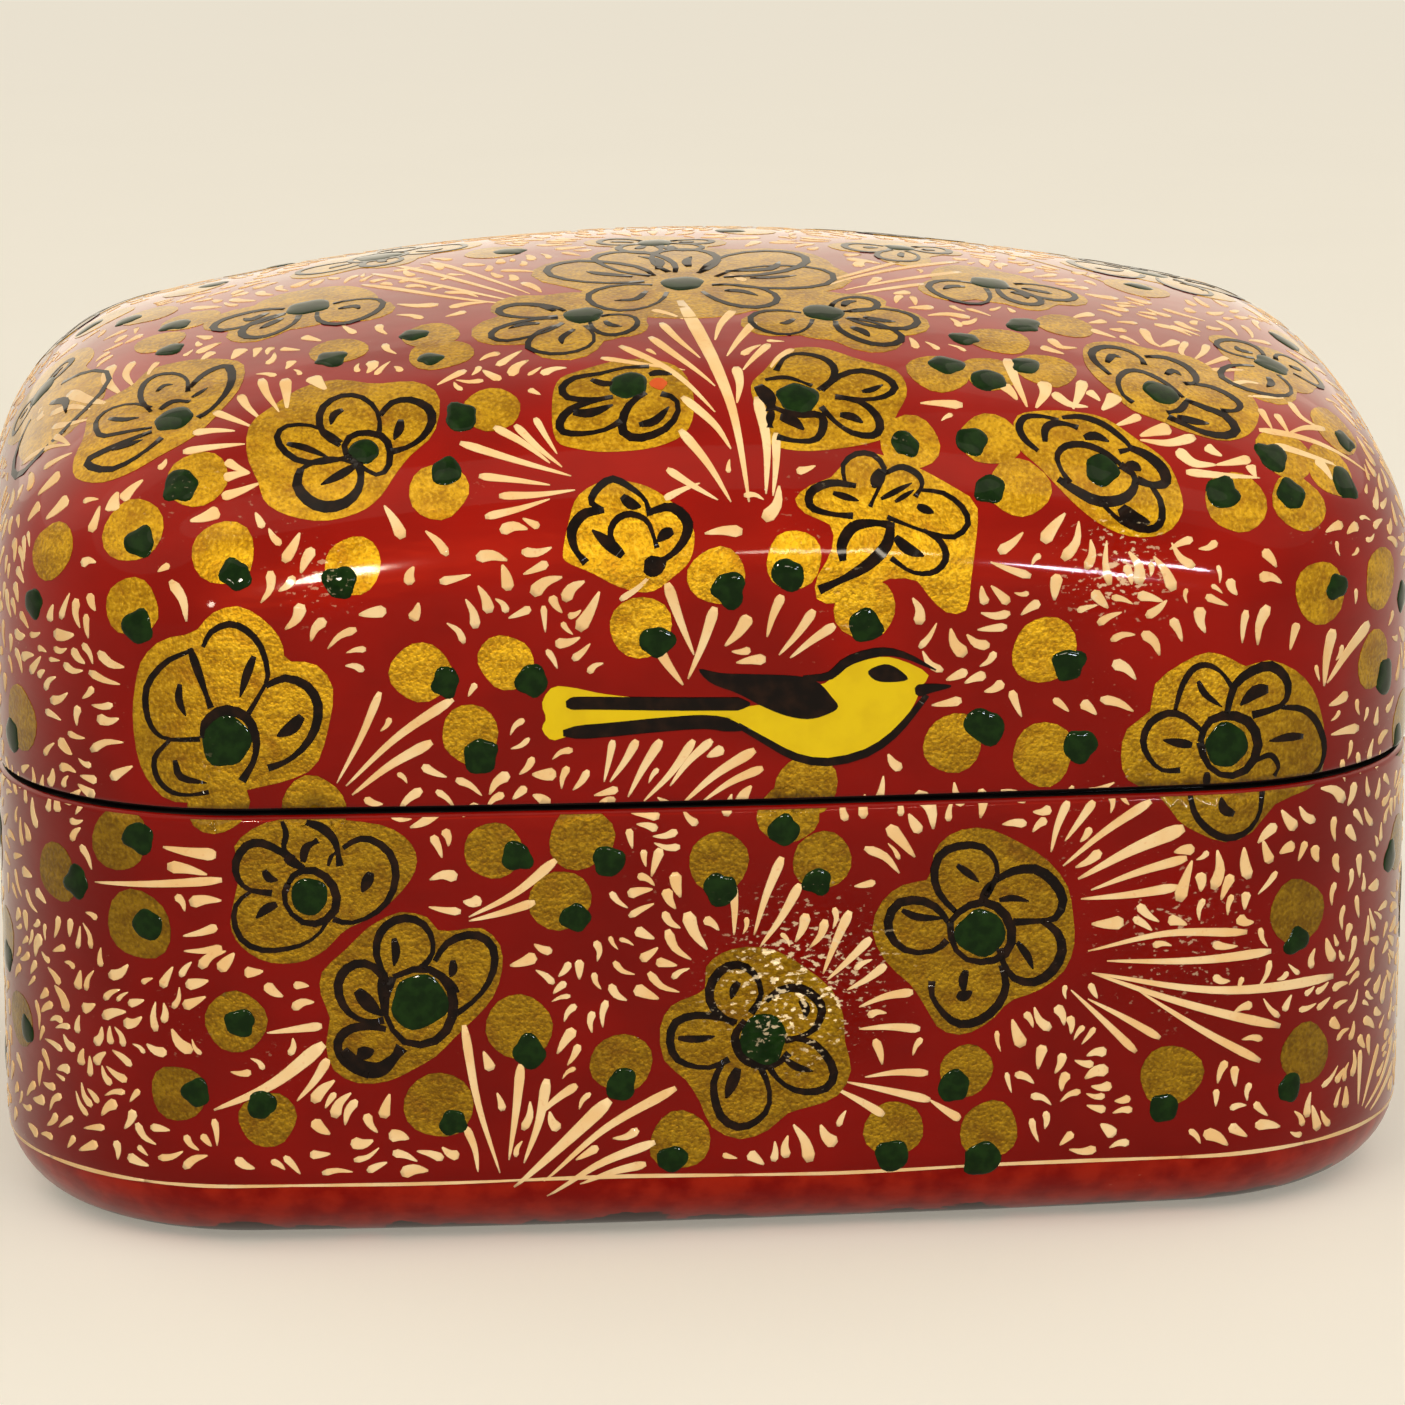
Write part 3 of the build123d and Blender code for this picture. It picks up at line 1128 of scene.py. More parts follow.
drawn_flower(
    patch=(
        (76, 478), (74, 460), (84, 437), (90, 411), (110, 398), (133, 385), (150, 370), (185, 361),
        (215, 359), (243, 364), (241, 386), (221, 411), (195, 436), (160, 456), (130, 473), (100, 483),
    ),
    middle=(160, 418),
    strokes=(
        (0.7, (152, 428), (122, 433), (101, 436), (96, 423), (107, 411), (132, 404), (151, 408)),
        (1.0, (152, 432), (128, 441), (105, 451), (88, 460), (91, 467), (110, 470), (131, 461), (150, 448),
         (162, 438)),
        (0.8, (151, 412), (141, 400), (143, 386), (156, 376), (175, 374), (187, 380), (188, 392)),
        (1.1, (190, 388), (201, 377), (215, 369), (229, 367), (232, 380), (225, 395), (211, 410), (198, 418)),
        (1.0, (160, 410), (173, 402), (190, 402)),
    ),
    ticks=(
        (0.8, (109, 419), (124, 420), (139, 418)), (0.8, (112, 450), (128, 445), (143, 440)),
        (0.7, (157, 392), (164, 386), (173, 385)), (0.7, (192, 398), (200, 393), (208, 388)),
    ),
    hearts=(((174, 419), 2.2),),
)  # fmt: skip

# The pair either side of the lid's tall spray. One heart has a dab of the first red beside it.
first_red_paint = Finish("first_red_paint", roughness=0.40, coat=1.0, coat_roughness=0.05)
first_reds = (0.620, 0.085, 0.016), (0.760, 0.140, 0.030)
first_red_paint.colour(first_red_paint.blend(first_red_paint.grain(0.8), *first_reds))
first_red = Paint(first_red_paint, thickness=0.04, lies_on=over_gold)
first_red_dab = (659, 384)
first_red.blot(seen_at(*first_red_dab), round_blot(0.85 * mm, 0.30, 1.1))
drawn_flower(
    patch=(
        (556, 440), (552, 406), (558, 381), (580, 371), (618, 361), (654, 360), (682, 371), (694, 400),
        (687, 431), (656, 447), (610, 452), (578, 449),
    ),
    middle=(622, 405),
    strokes=(
        (0.9, (612, 398), (590, 400), (568, 398), (562, 388), (575, 378), (600, 374), (625, 368), (649, 367)),
        (1.0, (613, 397), (590, 402), (570, 410), (560, 422), (563, 432), (582, 434), (605, 430), (621, 421)),
        (1.1, (646, 393), (632, 402), (624, 415), (622, 430), (633, 438), (650, 436), (668, 427), (678, 412),
         (675, 399), (661, 394)),
    ),
    ticks=(
        (1.0, (591, 380), (604, 384), (617, 383)), (1.3, (573, 413), (591, 413), (613, 405)),
        (1.1, (639, 425), (655, 421), (669, 407)), (1.1, (649, 375), (659, 373), (672, 375)),
    ),
    hearts=(((629, 385), 2.1),),
)  # fmt: skip
drawn_flower(
    patch=(
        (751, 386), (764, 371), (785, 351), (820, 348), (860, 360), (896, 371), (907, 392), (896, 416),
        (886, 437), (850, 447), (800, 451), (765, 441), (757, 411),
    ),
    middle=(815, 400),
    strokes=(
        (0.9, (818, 390), (832, 380), (834, 368), (822, 358), (800, 354), (785, 358), (776, 371)),
        (0.7, (765, 380), (787, 378), (812, 386)),
        (1.0, (822, 391), (840, 376), (862, 371), (884, 377), (895, 388), (884, 397), (862, 400), (835, 397)),
        (1.0, (836, 397), (860, 402), (876, 415), (880, 428), (872, 436), (852, 433), (835, 422), (821, 407)),
        (1.0, (774, 408), (795, 415), (820, 415), (823, 428), (815, 440), (795, 441), (777, 437)),
        (1.9, (758, 386), (768, 398), (772, 411)),
        (1.0, (772, 411), (770, 419), (770, 428)),
    ),
    ticks=(
        (1.5, (780, 417), (791, 420), (804, 430)), (1.1, (840, 415), (852, 417), (863, 423)),
        (0.8, (862, 392), (872, 390), (883, 385)),
    ),
    hearts=(((798, 398), 2.2),),
)  # fmt: skip

# On the lid's right shoulder, one above the other.
drawn_flower(
    patch=(
        (1014, 440), (1016, 417), (1040, 411), (1075, 412), (1106, 419), (1136, 439), (1166, 461),
        (1180, 490), (1182, 513), (1166, 533), (1135, 537), (1105, 527), (1078, 507), (1058, 487),
        (1038, 466), (1023, 453),
    ),
    middle=(1098, 468),
    strokes=(
        (0.9, (1122, 466), (1105, 453), (1085, 445), (1066, 446), (1057, 456), (1061, 470), (1070, 483)),
        (1.3, (1058, 479), (1075, 490), (1097, 501), (1120, 500), (1133, 490), (1134, 476), (1120, 465)),
        (0.9, (1038, 451), (1025, 440), (1019, 427), (1026, 417), (1045, 417), (1058, 421)),
        (1.0, (1045, 442), (1045, 430), (1052, 424), (1065, 424), (1078, 428)),
        (0.9, (1062, 418), (1080, 417), (1100, 423), (1118, 435), (1130, 448), (1119, 452)),
        (1.4, (1130, 448), (1148, 456), (1163, 470), (1165, 483), (1152, 485), (1137, 480)),
        (0.9, (1150, 485), (1160, 500), (1162, 518), (1155, 528), (1140, 529), (1122, 522), (1108, 510),
         (1101, 501)),
    ),
    ticks=(
        (1.2, (1084, 438), (1095, 436), (1109, 442)), (1.4, (1124, 470), (1133, 466), (1141, 471)),
        (2.0, (1121, 507), (1132, 519), (1150, 523)),
    ),
    hearts=(((1102, 470), 1.85),),
)  # fmt: skip
drawn_flower(
    patch=(
        (1084, 361), (1086, 345), (1114, 342), (1150, 349), (1190, 357), (1216, 371), (1246, 391),
        (1259, 411), (1251, 433), (1225, 441), (1190, 433), (1160, 421), (1130, 409), (1111, 391),
        (1094, 376),
    ),
    middle=(1165, 392),
    strokes=(
        (0.9, (1183, 398), (1165, 383), (1145, 373), (1128, 371), (1118, 380), (1122, 394), (1133, 403)),
        (0.9, (1188, 400), (1180, 410), (1167, 413)),
        (1.0, (1110, 375), (1095, 362), (1092, 352), (1105, 347), (1125, 350), (1140, 358), (1144, 365)),
        (1.1, (1145, 357), (1165, 358), (1185, 366), (1195, 376), (1195, 383), (1184, 384)),
        (1.0, (1190, 384), (1210, 387), (1228, 395), (1240, 405), (1235, 411), (1221, 411)),
        (1.2, (1185, 400), (1205, 408), (1225, 416), (1236, 430), (1225, 436), (1205, 433), (1185, 425),
         (1168, 417)),
    ),
    ticks=(
        (1.0, (1107, 363), (1112, 356), (1121, 358)), (1.0, (1166, 375), (1173, 371), (1181, 376)),
        (1.2, (1177, 417), (1192, 421), (1209, 424)),
    ),
    hearts=(((1161, 392), 2.1),),
)  # fmt: skip

# The large flower at the lid's left, its ring thickening down the right of the heart.
drawn_flower(
    patch=(
        (135, 688), (142, 660), (162, 640), (194, 632), (211, 614), (237, 606), (263, 619), (281, 640),
        (287, 660), (315, 664), (333, 688), (328, 729), (315, 766), (285, 781), (246, 790), (211, 801),
        (172, 801), (151, 784), (138, 757), (133, 718),
    ),
    middle=(230, 715),
    strokes=(
        (0.8, (203, 647), (211, 632), (229, 624), (246, 630), (261, 647), (268, 675), (261, 692), (248, 714)),
        (1.0, (190, 648), (198, 671), (211, 708)),
        (0.8, (190, 651), (166, 662), (148, 684), (146, 708), (153, 729), (168, 739), (200, 739)),
        (0.7, (170, 740), (155, 757), (157, 777), (170, 791), (188, 795), (209, 792)),
        (1.1, (266, 686), (285, 678), (307, 686), (318, 705), (315, 729), (302, 749), (285, 762), (268, 768)),
        (1.2, (203, 738), (206, 722), (224, 710), (246, 717), (256, 738), (254, 760), (242, 781)),
    ),
    ticks=(
        (0.9, (180, 684), (179, 700), (186, 716)), (1.0, (254, 656), (247, 674), (240, 697)),
        (1.5, (302, 716), (291, 728), (277, 736)), (0.9, (175, 760), (181, 777), (207, 783)),
    ),
    hearts=(((226, 741), 2.75),),
)  # fmt: skip

# The flower at the lid's right, which runs over the joint on to the tray.
drawn_flower(
    patch=(
        (1121, 756), (1127, 729), (1150, 711), (1155, 684), (1182, 663), (1209, 652), (1232, 659),
        (1246, 666), (1269, 660), (1295, 670), (1312, 688), (1320, 710), (1325, 740), (1321, 775),
        (1306, 790), (1275, 804), (1252, 832), (1225, 842), (1197, 832), (1178, 820), (1160, 797),
        (1128, 780),
    ),
    middle=(1229, 747),
    strokes=(
        (0.9, (1202, 731), (1185, 717), (1168, 713), (1150, 723), (1143, 741), (1149, 758), (1162, 770),
         (1180, 770)),
        (0.8, (1175, 710), (1182, 686), (1193, 669), (1207, 665), (1221, 672), (1232, 687)),
        (1.2, (1227, 713), (1234, 686), (1252, 671), (1271, 666), (1285, 677), (1288, 692), (1280, 706),
         (1252, 715)),
        (0.9, (1281, 707), (1302, 709), (1316, 721), (1324, 744), (1321, 764), (1311, 778)),
        (0.9, (1207, 772), (1206, 790)),
        (0.9, (1189, 790), (1195, 814), (1209, 830), (1226, 838), (1246, 832), (1259, 814), (1262, 790)),
        (0.7, (1252, 762), (1270, 755), (1278, 766), (1274, 776)),
        (1.2, (1200, 742), (1208, 722), (1229, 715), (1250, 723), (1258, 745), (1248, 768), (1226, 776),
         (1207, 764), (1200, 742)),
    ),
    ticks=(
        (0.8, (1198, 681), (1205, 694), (1222, 707)), (1.6, (1268, 689), (1255, 692), (1240, 705)),
        (1.1, (1192, 745), (1180, 743), (1163, 740)), (1.0, (1303, 736), (1288, 737), (1269, 741)),
        (1.2, (1234, 814), (1224, 809), (1221, 797)),
    ),
    hearts=(((1226, 744), 2.4),),
)  # fmt: skip

# The flower over the bird has no heart: its petals meet in black.
drawn_flower(
    patch=(
        (795, 499), (811, 485), (833, 476), (853, 453), (881, 455), (912, 465), (948, 484), (976, 504),
        (976, 538), (971, 580), (966, 610), (946, 612), (927, 594), (915, 580), (884, 580), (853, 600),
        (820, 602), (816, 580), (831, 552), (831, 526), (806, 514),
    ),
    middle=(895, 528),
    strokes=(
        (0.7, (845, 482), (843, 465), (856, 454), (873, 455), (884, 468), (880, 485), (873, 500), (870, 507)),
        (1.0, (856, 486), (831, 483), (811, 492), (811, 507), (831, 514), (853, 516)),
        (0.8, (884, 474), (901, 467), (917, 474), (922, 485), (915, 497)),
        (0.7, (920, 490), (943, 493), (962, 507), (968, 524), (954, 537), (934, 534), (912, 527), (887, 517)),
        (0.8, (923, 530), (940, 541), (946, 558), (934, 572), (912, 572), (891, 558)),
        (1.3, (843, 561), (842, 544), (853, 527), (873, 523), (890, 525)),
        (1.4, (891, 522), (887, 544), (870, 563), (847, 577), (819, 590)),
    ),
    ticks=(
        (0.8, (833, 493), (859, 501)), (0.7, (881, 499), (912, 483)), (0.6, (895, 502), (914, 490)),
        (1.0, (917, 506), (934, 513)), (1.3, (895, 537), (908, 549), (924, 556)),
        (1.6, (882, 470), (877, 480), (873, 488)),
    ),
)  # fmt: skip

# A bud about to open: three petals folded over a scalloped middle.
drawn_flower(
    patch=(
        (563, 552), (568, 525), (578, 496), (606, 481), (643, 485), (673, 503), (693, 527), (691, 558),
        (673, 577), (650, 592), (620, 587), (592, 573), (567, 562),
    ),
    middle=(628, 537),
    strokes=(
        (0.9, (603, 510), (591, 502), (598, 488), (613, 479), (631, 488), (645, 500), (650, 516)),
        (1.2, (650, 512), (671, 507), (687, 521), (685, 538), (671, 555), (648, 567)),
        (1.2, (604, 510), (584, 514), (572, 530), (575, 549), (586, 563)),
        (0.8, (617, 549), (610, 533), (617, 519), (631, 514), (647, 521), (654, 538), (657, 548)),
    ),
    ticks=(
        (1.4, (623, 556), (609, 544), (592, 530)), (1.3, (622, 496), (631, 504), (641, 507)),
        (1.3, (673, 531), (665, 534), (657, 542)), (2.4, (644, 566), (654, 566), (666, 560)),
    ),
)  # fmt: skip


# ---------------------------------------------------------------------------
# Buds, front and top: a round touch of gold with a green bead near its edge,
# each as (place of the gold, place of the bead).
# ---------------------------------------------------------------------------
def bud(patch, tip, size, bead):
    """A round gold bud with a green bead at its tip."""
    gold.blot(patch, round_blot(size * mm))
    green.blot(tip, round_blot(bead * mm, 0.38, 1.1), round_dab)


lid_buds = (
    ((132, 532), (141, 542)), ((223, 553), (235, 575)), ((351, 565), (340, 581)), ((130, 607), (138, 626)),
    ((198, 478), (180, 488)), ((441, 490), (447, 472)), ((51, 550), (34, 602)), ((339, 352), (331, 359)),
    ((432, 335), (415, 335)), ((440, 355), (430, 359)), ((190, 320), (177, 325)), ((160, 342), (172, 349)),
    ((150, 315), (129, 320)), ((493, 410), (461, 416)), ((718, 577), (728, 589)), ((794, 559), (787, 572)),
    ((640, 628), (658, 640)), ((866, 607), (865, 626)), ((420, 670), (445, 682)), ((506, 661), (533, 682)),
    ((470, 735), (480, 755)), ((910, 443), (905, 445)), ((1001, 341), (963, 338)), ((1044, 368), (1025, 365)),
    ((940, 372), (948, 365)), ((990, 372), (988, 380)), ((1063, 326), (1025, 325)), ((990, 440), (972, 441)),
    ((1021, 487), (991, 490)), ((1284, 453), (1272, 456)), ((1236, 502), (1224, 493)),
    ((1300, 502), (1290, 494)), ((1330, 470), (1345, 482)), ((1335, 430), (1345, 440)),
    ((1321, 590), (1337, 587)), ((1042, 650), (1069, 664)), ((1042, 755), (1080, 746)),
    ((951, 743), (985, 725)), ((1381, 577), (1402, 596)), ((1375, 660), (1385, 675)), ((20, 715), (12, 735)),
)  # fmt: skip
tray_buds = (
    ((120, 840), (139, 837)), ((57, 873), (76, 883)), ((138, 927), (147, 924)), ((234, 1023), (241, 1023)),
    ((180, 1092), (196, 1092)), ((267, 1119), (261, 1105)), ((438, 1107), (453, 1123)),
    ((21, 1017), (27, 1029)), ((493, 851), (517, 857)), ((580, 839), (607, 860)), ((562, 899), (574, 917)),
    ((718, 863), (721, 888)), ((821, 860), (818, 881)), ((790, 815), (784, 830)), ((518, 1028), (526, 1052)),
    ((622, 1064), (622, 1085)), ((680, 1142), (673, 1158)), ((895, 1130), (892, 1154)),
    ((1297, 913), (1297, 941)), ((1169, 1076), (1163, 1108)), ((1306, 1052), (1290, 1088)),
    ((966, 1070), (954, 1085)), ((989, 1131), (983, 1161)), ((1397, 843), (1402, 860)),
)  # fmt: skip
for patch, tip in lid_buds + tray_buds:
    bud(seen_at(*patch), seen_at(*tip), size=hand.uniform(2.8, 3.5), bead=hand.uniform(1.5, 2.0))
beadless = ((805, 785), (216, 804), (315, 808))
for patch in beadless:
    gold.blot(seen_at(*patch), round_blot(3.2 * mm))


# ---------------------------------------------------------------------------
# Bird: a yellow wagtail on the lid's front, flying to the right, with a black
# wing, cap and bill, and two black tail feathers.
# ---------------------------------------------------------------------------
full_yellow = (0.840, 0.610, 0.008)
thin_yellow = (0.770, 0.540, 0.008)

yellow_paint = Finish("yellow_paint", roughness=0.38, coat=1.0, coat_roughness=0.04)
wash = yellow_paint.grain(3.5, detail=3.0)
yellow_paint.varnished(yellow_paint.blend(wash.step(0.35, 0.72), full_yellow, thin_yellow))
yellow_paint.relief(wash * 0.02)
yellow = Paint(yellow_paint, thickness=0.06)


def stripe(share):
    """Full from end to end, rounded off at the start and pointed at the finish."""
    return min(1.0, 0.45 + 6 * share, 0.25 + 6 * (1 - share))


def tapered(share):
    """Rounded and full at the start, drawn out to a point."""
    return min(0.46 + 5.0 * share, 0.13 + 0.89 * (1 - share) ** 0.72)


bird_body = (
    (825, 683), (846, 667), (878, 657), (901, 660), (928, 674), (920, 688), (917, 698), (910, 711),
    (893, 731), (866, 749), (828, 758), (796, 753), (769, 740), (749, 729), (728, 721), (735, 708),
    (765, 704), (795, 690),
)  # fmt: skip
bird_tail = (
    (740, 706), (705, 703), (667, 700), (630, 697), (599, 693), (575, 688), (553, 687), (542, 703),
    (546, 718), (542, 729), (552, 740), (568, 736), (600, 728), (635, 722), (667, 719), (705, 720),
    (742, 722), (748, 714),
)  # fmt: skip
yellow.cutout(bird_tail, middle=(604, 711))
yellow.cutout(bird_body, middle=(838, 712))
bird_wing = (
    (699, 669), (722, 673), (755, 674), (799, 676), (819, 683), (831, 696), (838, 707), (825, 715),
    (807, 719), (784, 715), (760, 705), (737, 693), (711, 683),
)  # fmt: skip
lines.cutout(bird_wing, middle=(790, 697))
bird_lines = (
    (1.5, stripe, ((566, 704), (587, 703), (667, 704), (725, 704), (750, 704))),
    (1.6, stripe, ((563, 733), (605, 730), (667, 724), (710, 722), (745, 729))),
    (1.0, loop_width,
     ((738, 725), (769, 743), (796, 757), (828, 762), (866, 753), (893, 735), (912, 714), (927, 695))),
    (1.1, leaf, ((803, 678), (829, 676), (848, 661), (878, 652), (904, 655), (936, 670))),
    (1.5, tapered, ((915, 691), (932, 688), (951, 686))),
)
for weight, shape, stops in bird_lines:
    lines.stroke(on_box(stops), weight, shape, long_pull)
bird_eye = ((868, 671), (884, 664), (897, 668), (908, 679), (890, 682), (875, 680))
lines.cutout(bird_eye, middle=(887, 673), form=flat_dab)


# ---------------------------------------------------------------------------
# Sprays and larger single strokes, front and top: cream, pressed down at one
# end and drawn out to a point. Each is (width in millimetres, then places from
# the blunt end to the point).
# ---------------------------------------------------------------------------
def leaf_stroke(stops, width, bend):
    """A tapering stroke of a spray, bent to one side."""
    if len(stops) == 2:
        place, facing = touch((stops[0] + stops[1]) / 2)
        side = facing.cross(stops[1] - stops[0])
        stops = [stops[0], place + side * bend, stops[1]]
    cream.stroke(stops, width, tapered, long_pull)


lid_sprays = (
    (1.8, (680, 301), (715, 364), (733, 412), (749, 502)), (1.0, (652, 310), (683, 319)),
    (1.1, (661, 323), (700, 358)), (1.2, (650, 337), (715, 386)), (1.2, (620, 346), (672, 372), (715, 412)),
    (1.0, (601, 358), (685, 370)), (1.2, (682, 397), (714, 424), (731, 449)), (1.2, (680, 430), (731, 502)),
    (1.0, (667, 469), (718, 500)), (0.9, (664, 499), (700, 483)), (1.2, (734, 310), (715, 340)),
    (1.2, (755, 322), (727, 356)), (1.1, (769, 344), (743, 370)), (1.3, (736, 367), (737, 403)),
    (1.4, (757, 397), (766, 494)), (1.1, (776, 433), (773, 496)), (1.0, (793, 349), (769, 370)),
    (1.1, (460, 443), (571, 476)), (1.1, (494, 427), (550, 463)), (1.0, (515, 425), (562, 467)),
    (1.0, (362, 285), (440, 296), (512, 305)), (1.0, (372, 274), (450, 288), (520, 303)),
    (1.0, (395, 266), (465, 282), (525, 299)), (0.9, (430, 262), (485, 278), (530, 294)),
    (1.0, (958, 262), (880, 272), (812, 290)), (1.0, (962, 272), (900, 280), (845, 290)),
    (0.9, (925, 284), (880, 290), (850, 295)), (0.9, (900, 262), (850, 275), (806, 286)),
    (0.9, (535, 418), (557, 454)), (1.0, (479, 476), (550, 485)), (1.0, (499, 496), (575, 490)),
    (1.0, (485, 517), (550, 499)), (1.3, (667, 583), (694, 655)), (1.3, (715, 607), (688, 679)),
    (1.5, (652, 637), (683, 685)), (1.2, (782, 595), (767, 637)), (1.2, (814, 610), (779, 655)),
    (1.2, (835, 625), (790, 658)), (1.6, (749, 616), (725, 646)), (0.9, (613, 740), (604, 782)),
    (1.1, (637, 740), (610, 782)), (1.2, (661, 740), (628, 797)), (1.1, (694, 740), (644, 801)),
    (1.1, (712, 740), (670, 786)), (1.3, (755, 750), (682, 804)), (1.1, (763, 768), (703, 801)),
    (1.0, (380, 692), (337, 783)), (1.2, (453, 699), (396, 738), (346, 786)), (1.3, (432, 742), (352, 795)),
    (1.2, (214, 412), (252, 427)), (1.2, (193, 433), (235, 431)), (1.2, (183, 452), (245, 444)),
    (1.2, (240, 395), (261, 420)), (1.2, (261, 379), (279, 412)), (1.7, (1333, 629), (1324, 686)),
    (1.7, (1369, 623), (1327, 683)), (1.2, (1297, 623), (1290, 650)), (0.8, (620, 600), (655, 570)),
    (1.0, (1186, 342), (1181, 352), (1188, 359)), (1.1, (1207, 345), (1203, 353), (1194, 360)),
    (1.0, (1228, 357), (1200, 367)), (1.0, (1212, 370), (1253, 371)),
    (1.0, (1230, 385), (1247, 382), (1270, 387)), (1.0, (1284, 397), (1245, 396)),
    (1.1, (1289, 402), (1301, 417), (1320, 429)), (1.1, (1260, 409), (1272, 429)),
    (1.1, (1276, 414), (1289, 434)), (1.0, (1325, 429), (1287, 434)),
    (1.1, (1259, 430), (1312, 441), (1370, 475)), (1.1, (1275, 445), (1310, 456), (1340, 467)),
    (1.8, (1316, 459), (1332, 480)), (1.0, (1341, 405), (1361, 430)),
    (1.6, (1177, 450), (1194, 463), (1216, 465)), (1.3, (1250, 459), (1216, 465)),
    (1.4, (1206, 446), (1222, 456)), (1.9, (1170, 428), (1140, 436)),
    (1.4, (1195, 437), (1168, 443), (1140, 440)), (1.2, (1140, 416), (1115, 426)),
    (1.4, (1250, 465), (1256, 477)), (1.1, (1186, 472), (1260, 478)),
    (1.4, (1053, 393), (1069, 404), (1088, 407)), (1.5, (1083, 381), (1079, 395), (1073, 409)),
    (2.0, (1116, 395), (1102, 410)), (1.3, (1088, 391), (1100, 401)),
    (1.6, (1007, 359), (1015, 380), (1027, 407)), (1.8, (1044, 382), (1045, 393), (1036, 408)),
    (1.6, (1003, 385), (1017, 400)), (1.4, (1050, 339), (1061, 347), (1077, 348)),
    (1.4, (1041, 347), (1064, 354)), (1.3, (1091, 330), (1116, 338)), (1.3, (1093, 314), (1073, 318)),
    (1.2, (1105, 321), (1089, 323)), (1.1, (1120, 336), (1139, 345)),
    (1.4, (1143, 329), (1150, 341), (1160, 347)), (1.4, (1177, 341), (1160, 347)),
    (1.0, (1170, 326), (1200, 336)), (1.0, (1163, 309), (1205, 321)), (1.0, (1118, 306), (1137, 307)),
    (2.0, (111, 366), (107, 381), (120, 394)), (1.3, (133, 362), (126, 375), (134, 387)),
    (0.9, (158, 362), (147, 378)), (1.4, (213, 352), (201, 361)), (1.9, (242, 349), (232, 359)),
    (1.2, (258, 348), (254, 357)), (1.0, (281, 349), (300, 350)), (1.3, (292, 361), (286, 369)),
    (2.0, (312, 377), (326, 390)), (1.3, (303, 337), (321, 341)), (1.8, (69, 393), (88, 400), (108, 404)),
    (1.4, (51, 414), (90, 409)), (1.2, (53, 427), (92, 419)), (1.1, (22, 464), (70, 445)),
    (1.1, (44, 468), (72, 453)), (1.0, (55, 436), (70, 445)), (1.9, (60, 474), (38, 495)),
    (1.7, (40, 504), (28, 521)), (1.9, (68, 498), (46, 519)), (2.1, (112, 511), (118, 492)),
    (1.6, (122, 500), (143, 480)), (1.5, (285, 379), (287, 410)), (1.2, (226, 461), (250, 473)),
    (1.3, (224, 478), (250, 473)), (1.3, (222, 497), (260, 483)), (1.7, (219, 511), (190, 521)),
)  # fmt: skip
tray_sprays = (
    (1.1, (464, 1025), (500, 1173)), (1.2, (521, 1064), (509, 1160)), (1.3, (547, 1079), (524, 1163)),
    (1.1, (577, 1085), (536, 1118)), (1.7, (610, 1100), (514, 1187)), (1.2, (676, 1088), (544, 1181)),
    (1.2, (655, 1142), (547, 1196)), (1.1, (646, 1164), (580, 1184)), (1.0, (466, 1127), (478, 1172)),
    (1.2, (556, 860), (469, 917)), (1.1, (535, 902), (469, 921)), (1.2, (782, 857), (754, 935)),
    (1.1, (733, 884), (734, 935)), (1.2, (800, 884), (760, 947)), (1.2, (850, 911), (823, 974)),
    (1.1, (871, 938), (827, 980)), (1.1, (886, 965), (847, 990)), (1.1, (913, 992), (859, 1007)),
    (1.1, (920, 1029), (859, 1029)), (1.1, (930, 1100), (847, 1082)), (1.0, (928, 1073), (865, 1077)),
    (1.1, (884, 1115), (835, 1088)), (1.1, (960, 1119), (930, 1100)), (1.1, (1068, 801), (1051, 852)),
    (1.1, (1094, 801), (1065, 841)), (1.2, (1151, 801), (1063, 866)),
    (1.8, (1184, 828), (1132, 850), (1078, 879)), (1.2, (1187, 858), (1091, 890)),
    (1.2, (1178, 887), (1081, 899)), (1.1, (1247, 932), (1088, 951)), (1.2, (1271, 951), (1107, 961)),
    (1.3, (1333, 976), (1212, 990), (1092, 973)), (1.2, (1280, 1026), (1180, 1002), (1092, 973)),
    (1.1, (1260, 1061), (1139, 991)), (1.0, (1136, 1052), (1071, 990)), (1.0, (1160, 1038), (1088, 999)),
    (1.5, (216, 855), (163, 847)), (1.1, (222, 880), (150, 884), (95, 882)), (1.1, (217, 927), (183, 936)),
    (1.0, (222, 948), (184, 951)), (1.1, (322, 1026), (267, 1033)), (1.7, (324, 1044), (214, 1110)),
    (1.2, (328, 1059), (297, 1101)), (1.0, (1392, 1037), (1365, 1108)), (1.0, (1378, 1044), (1362, 1106)),
    (1.0, (1392, 1062), (1370, 1110)), (1.0, (1360, 1050), (1358, 1104)),
)  # fmt: skip
for width, *stops in lid_sprays + tray_sprays:
    leaf_stroke(on_box(stops), width, hand.uniform(-0.06, 0.06))
gold_sweep = ((930, 240), (1040, 262), (1150, 300))  # a thin line of gold over the top
gold.stroke(on_box(gold_sweep), 0.5, loop_width, long_pull)


# ---------------------------------------------------------------------------
# The far side, the ends and the back of the top carry the same flowers, buds
# and sprays, set out wherever the ground is bare.
# ---------------------------------------------------------------------------
grazing = 0.20  # how square to the eye a place has to be, to count as in sight
bare_gap = 0.3 * mm
line_gap = 1.0 * mm  # kept between the painted line and any mark above it


def in_sight(place, facing):
    """Whether the eye sees this place, where every mark has its own place already."""
    return facing.dot((eye - place).normalized()) > grazing


def bare_places(count):
    """Places all over the skin, more where there is more of it."""
    weights = [area for _, area, _ in skin_faces]
    for middle, _, facing in hand.choices(skin_faces, weights, k=count):
        jitter = facing.orthogonal().normalized() * hand.uniform(-0.8, 0.8) * mm
        jitter += facing.cross(jitter).normalized() * hand.uniform(-0.8, 0.8) * mm
        yield touch(middle + jitter)


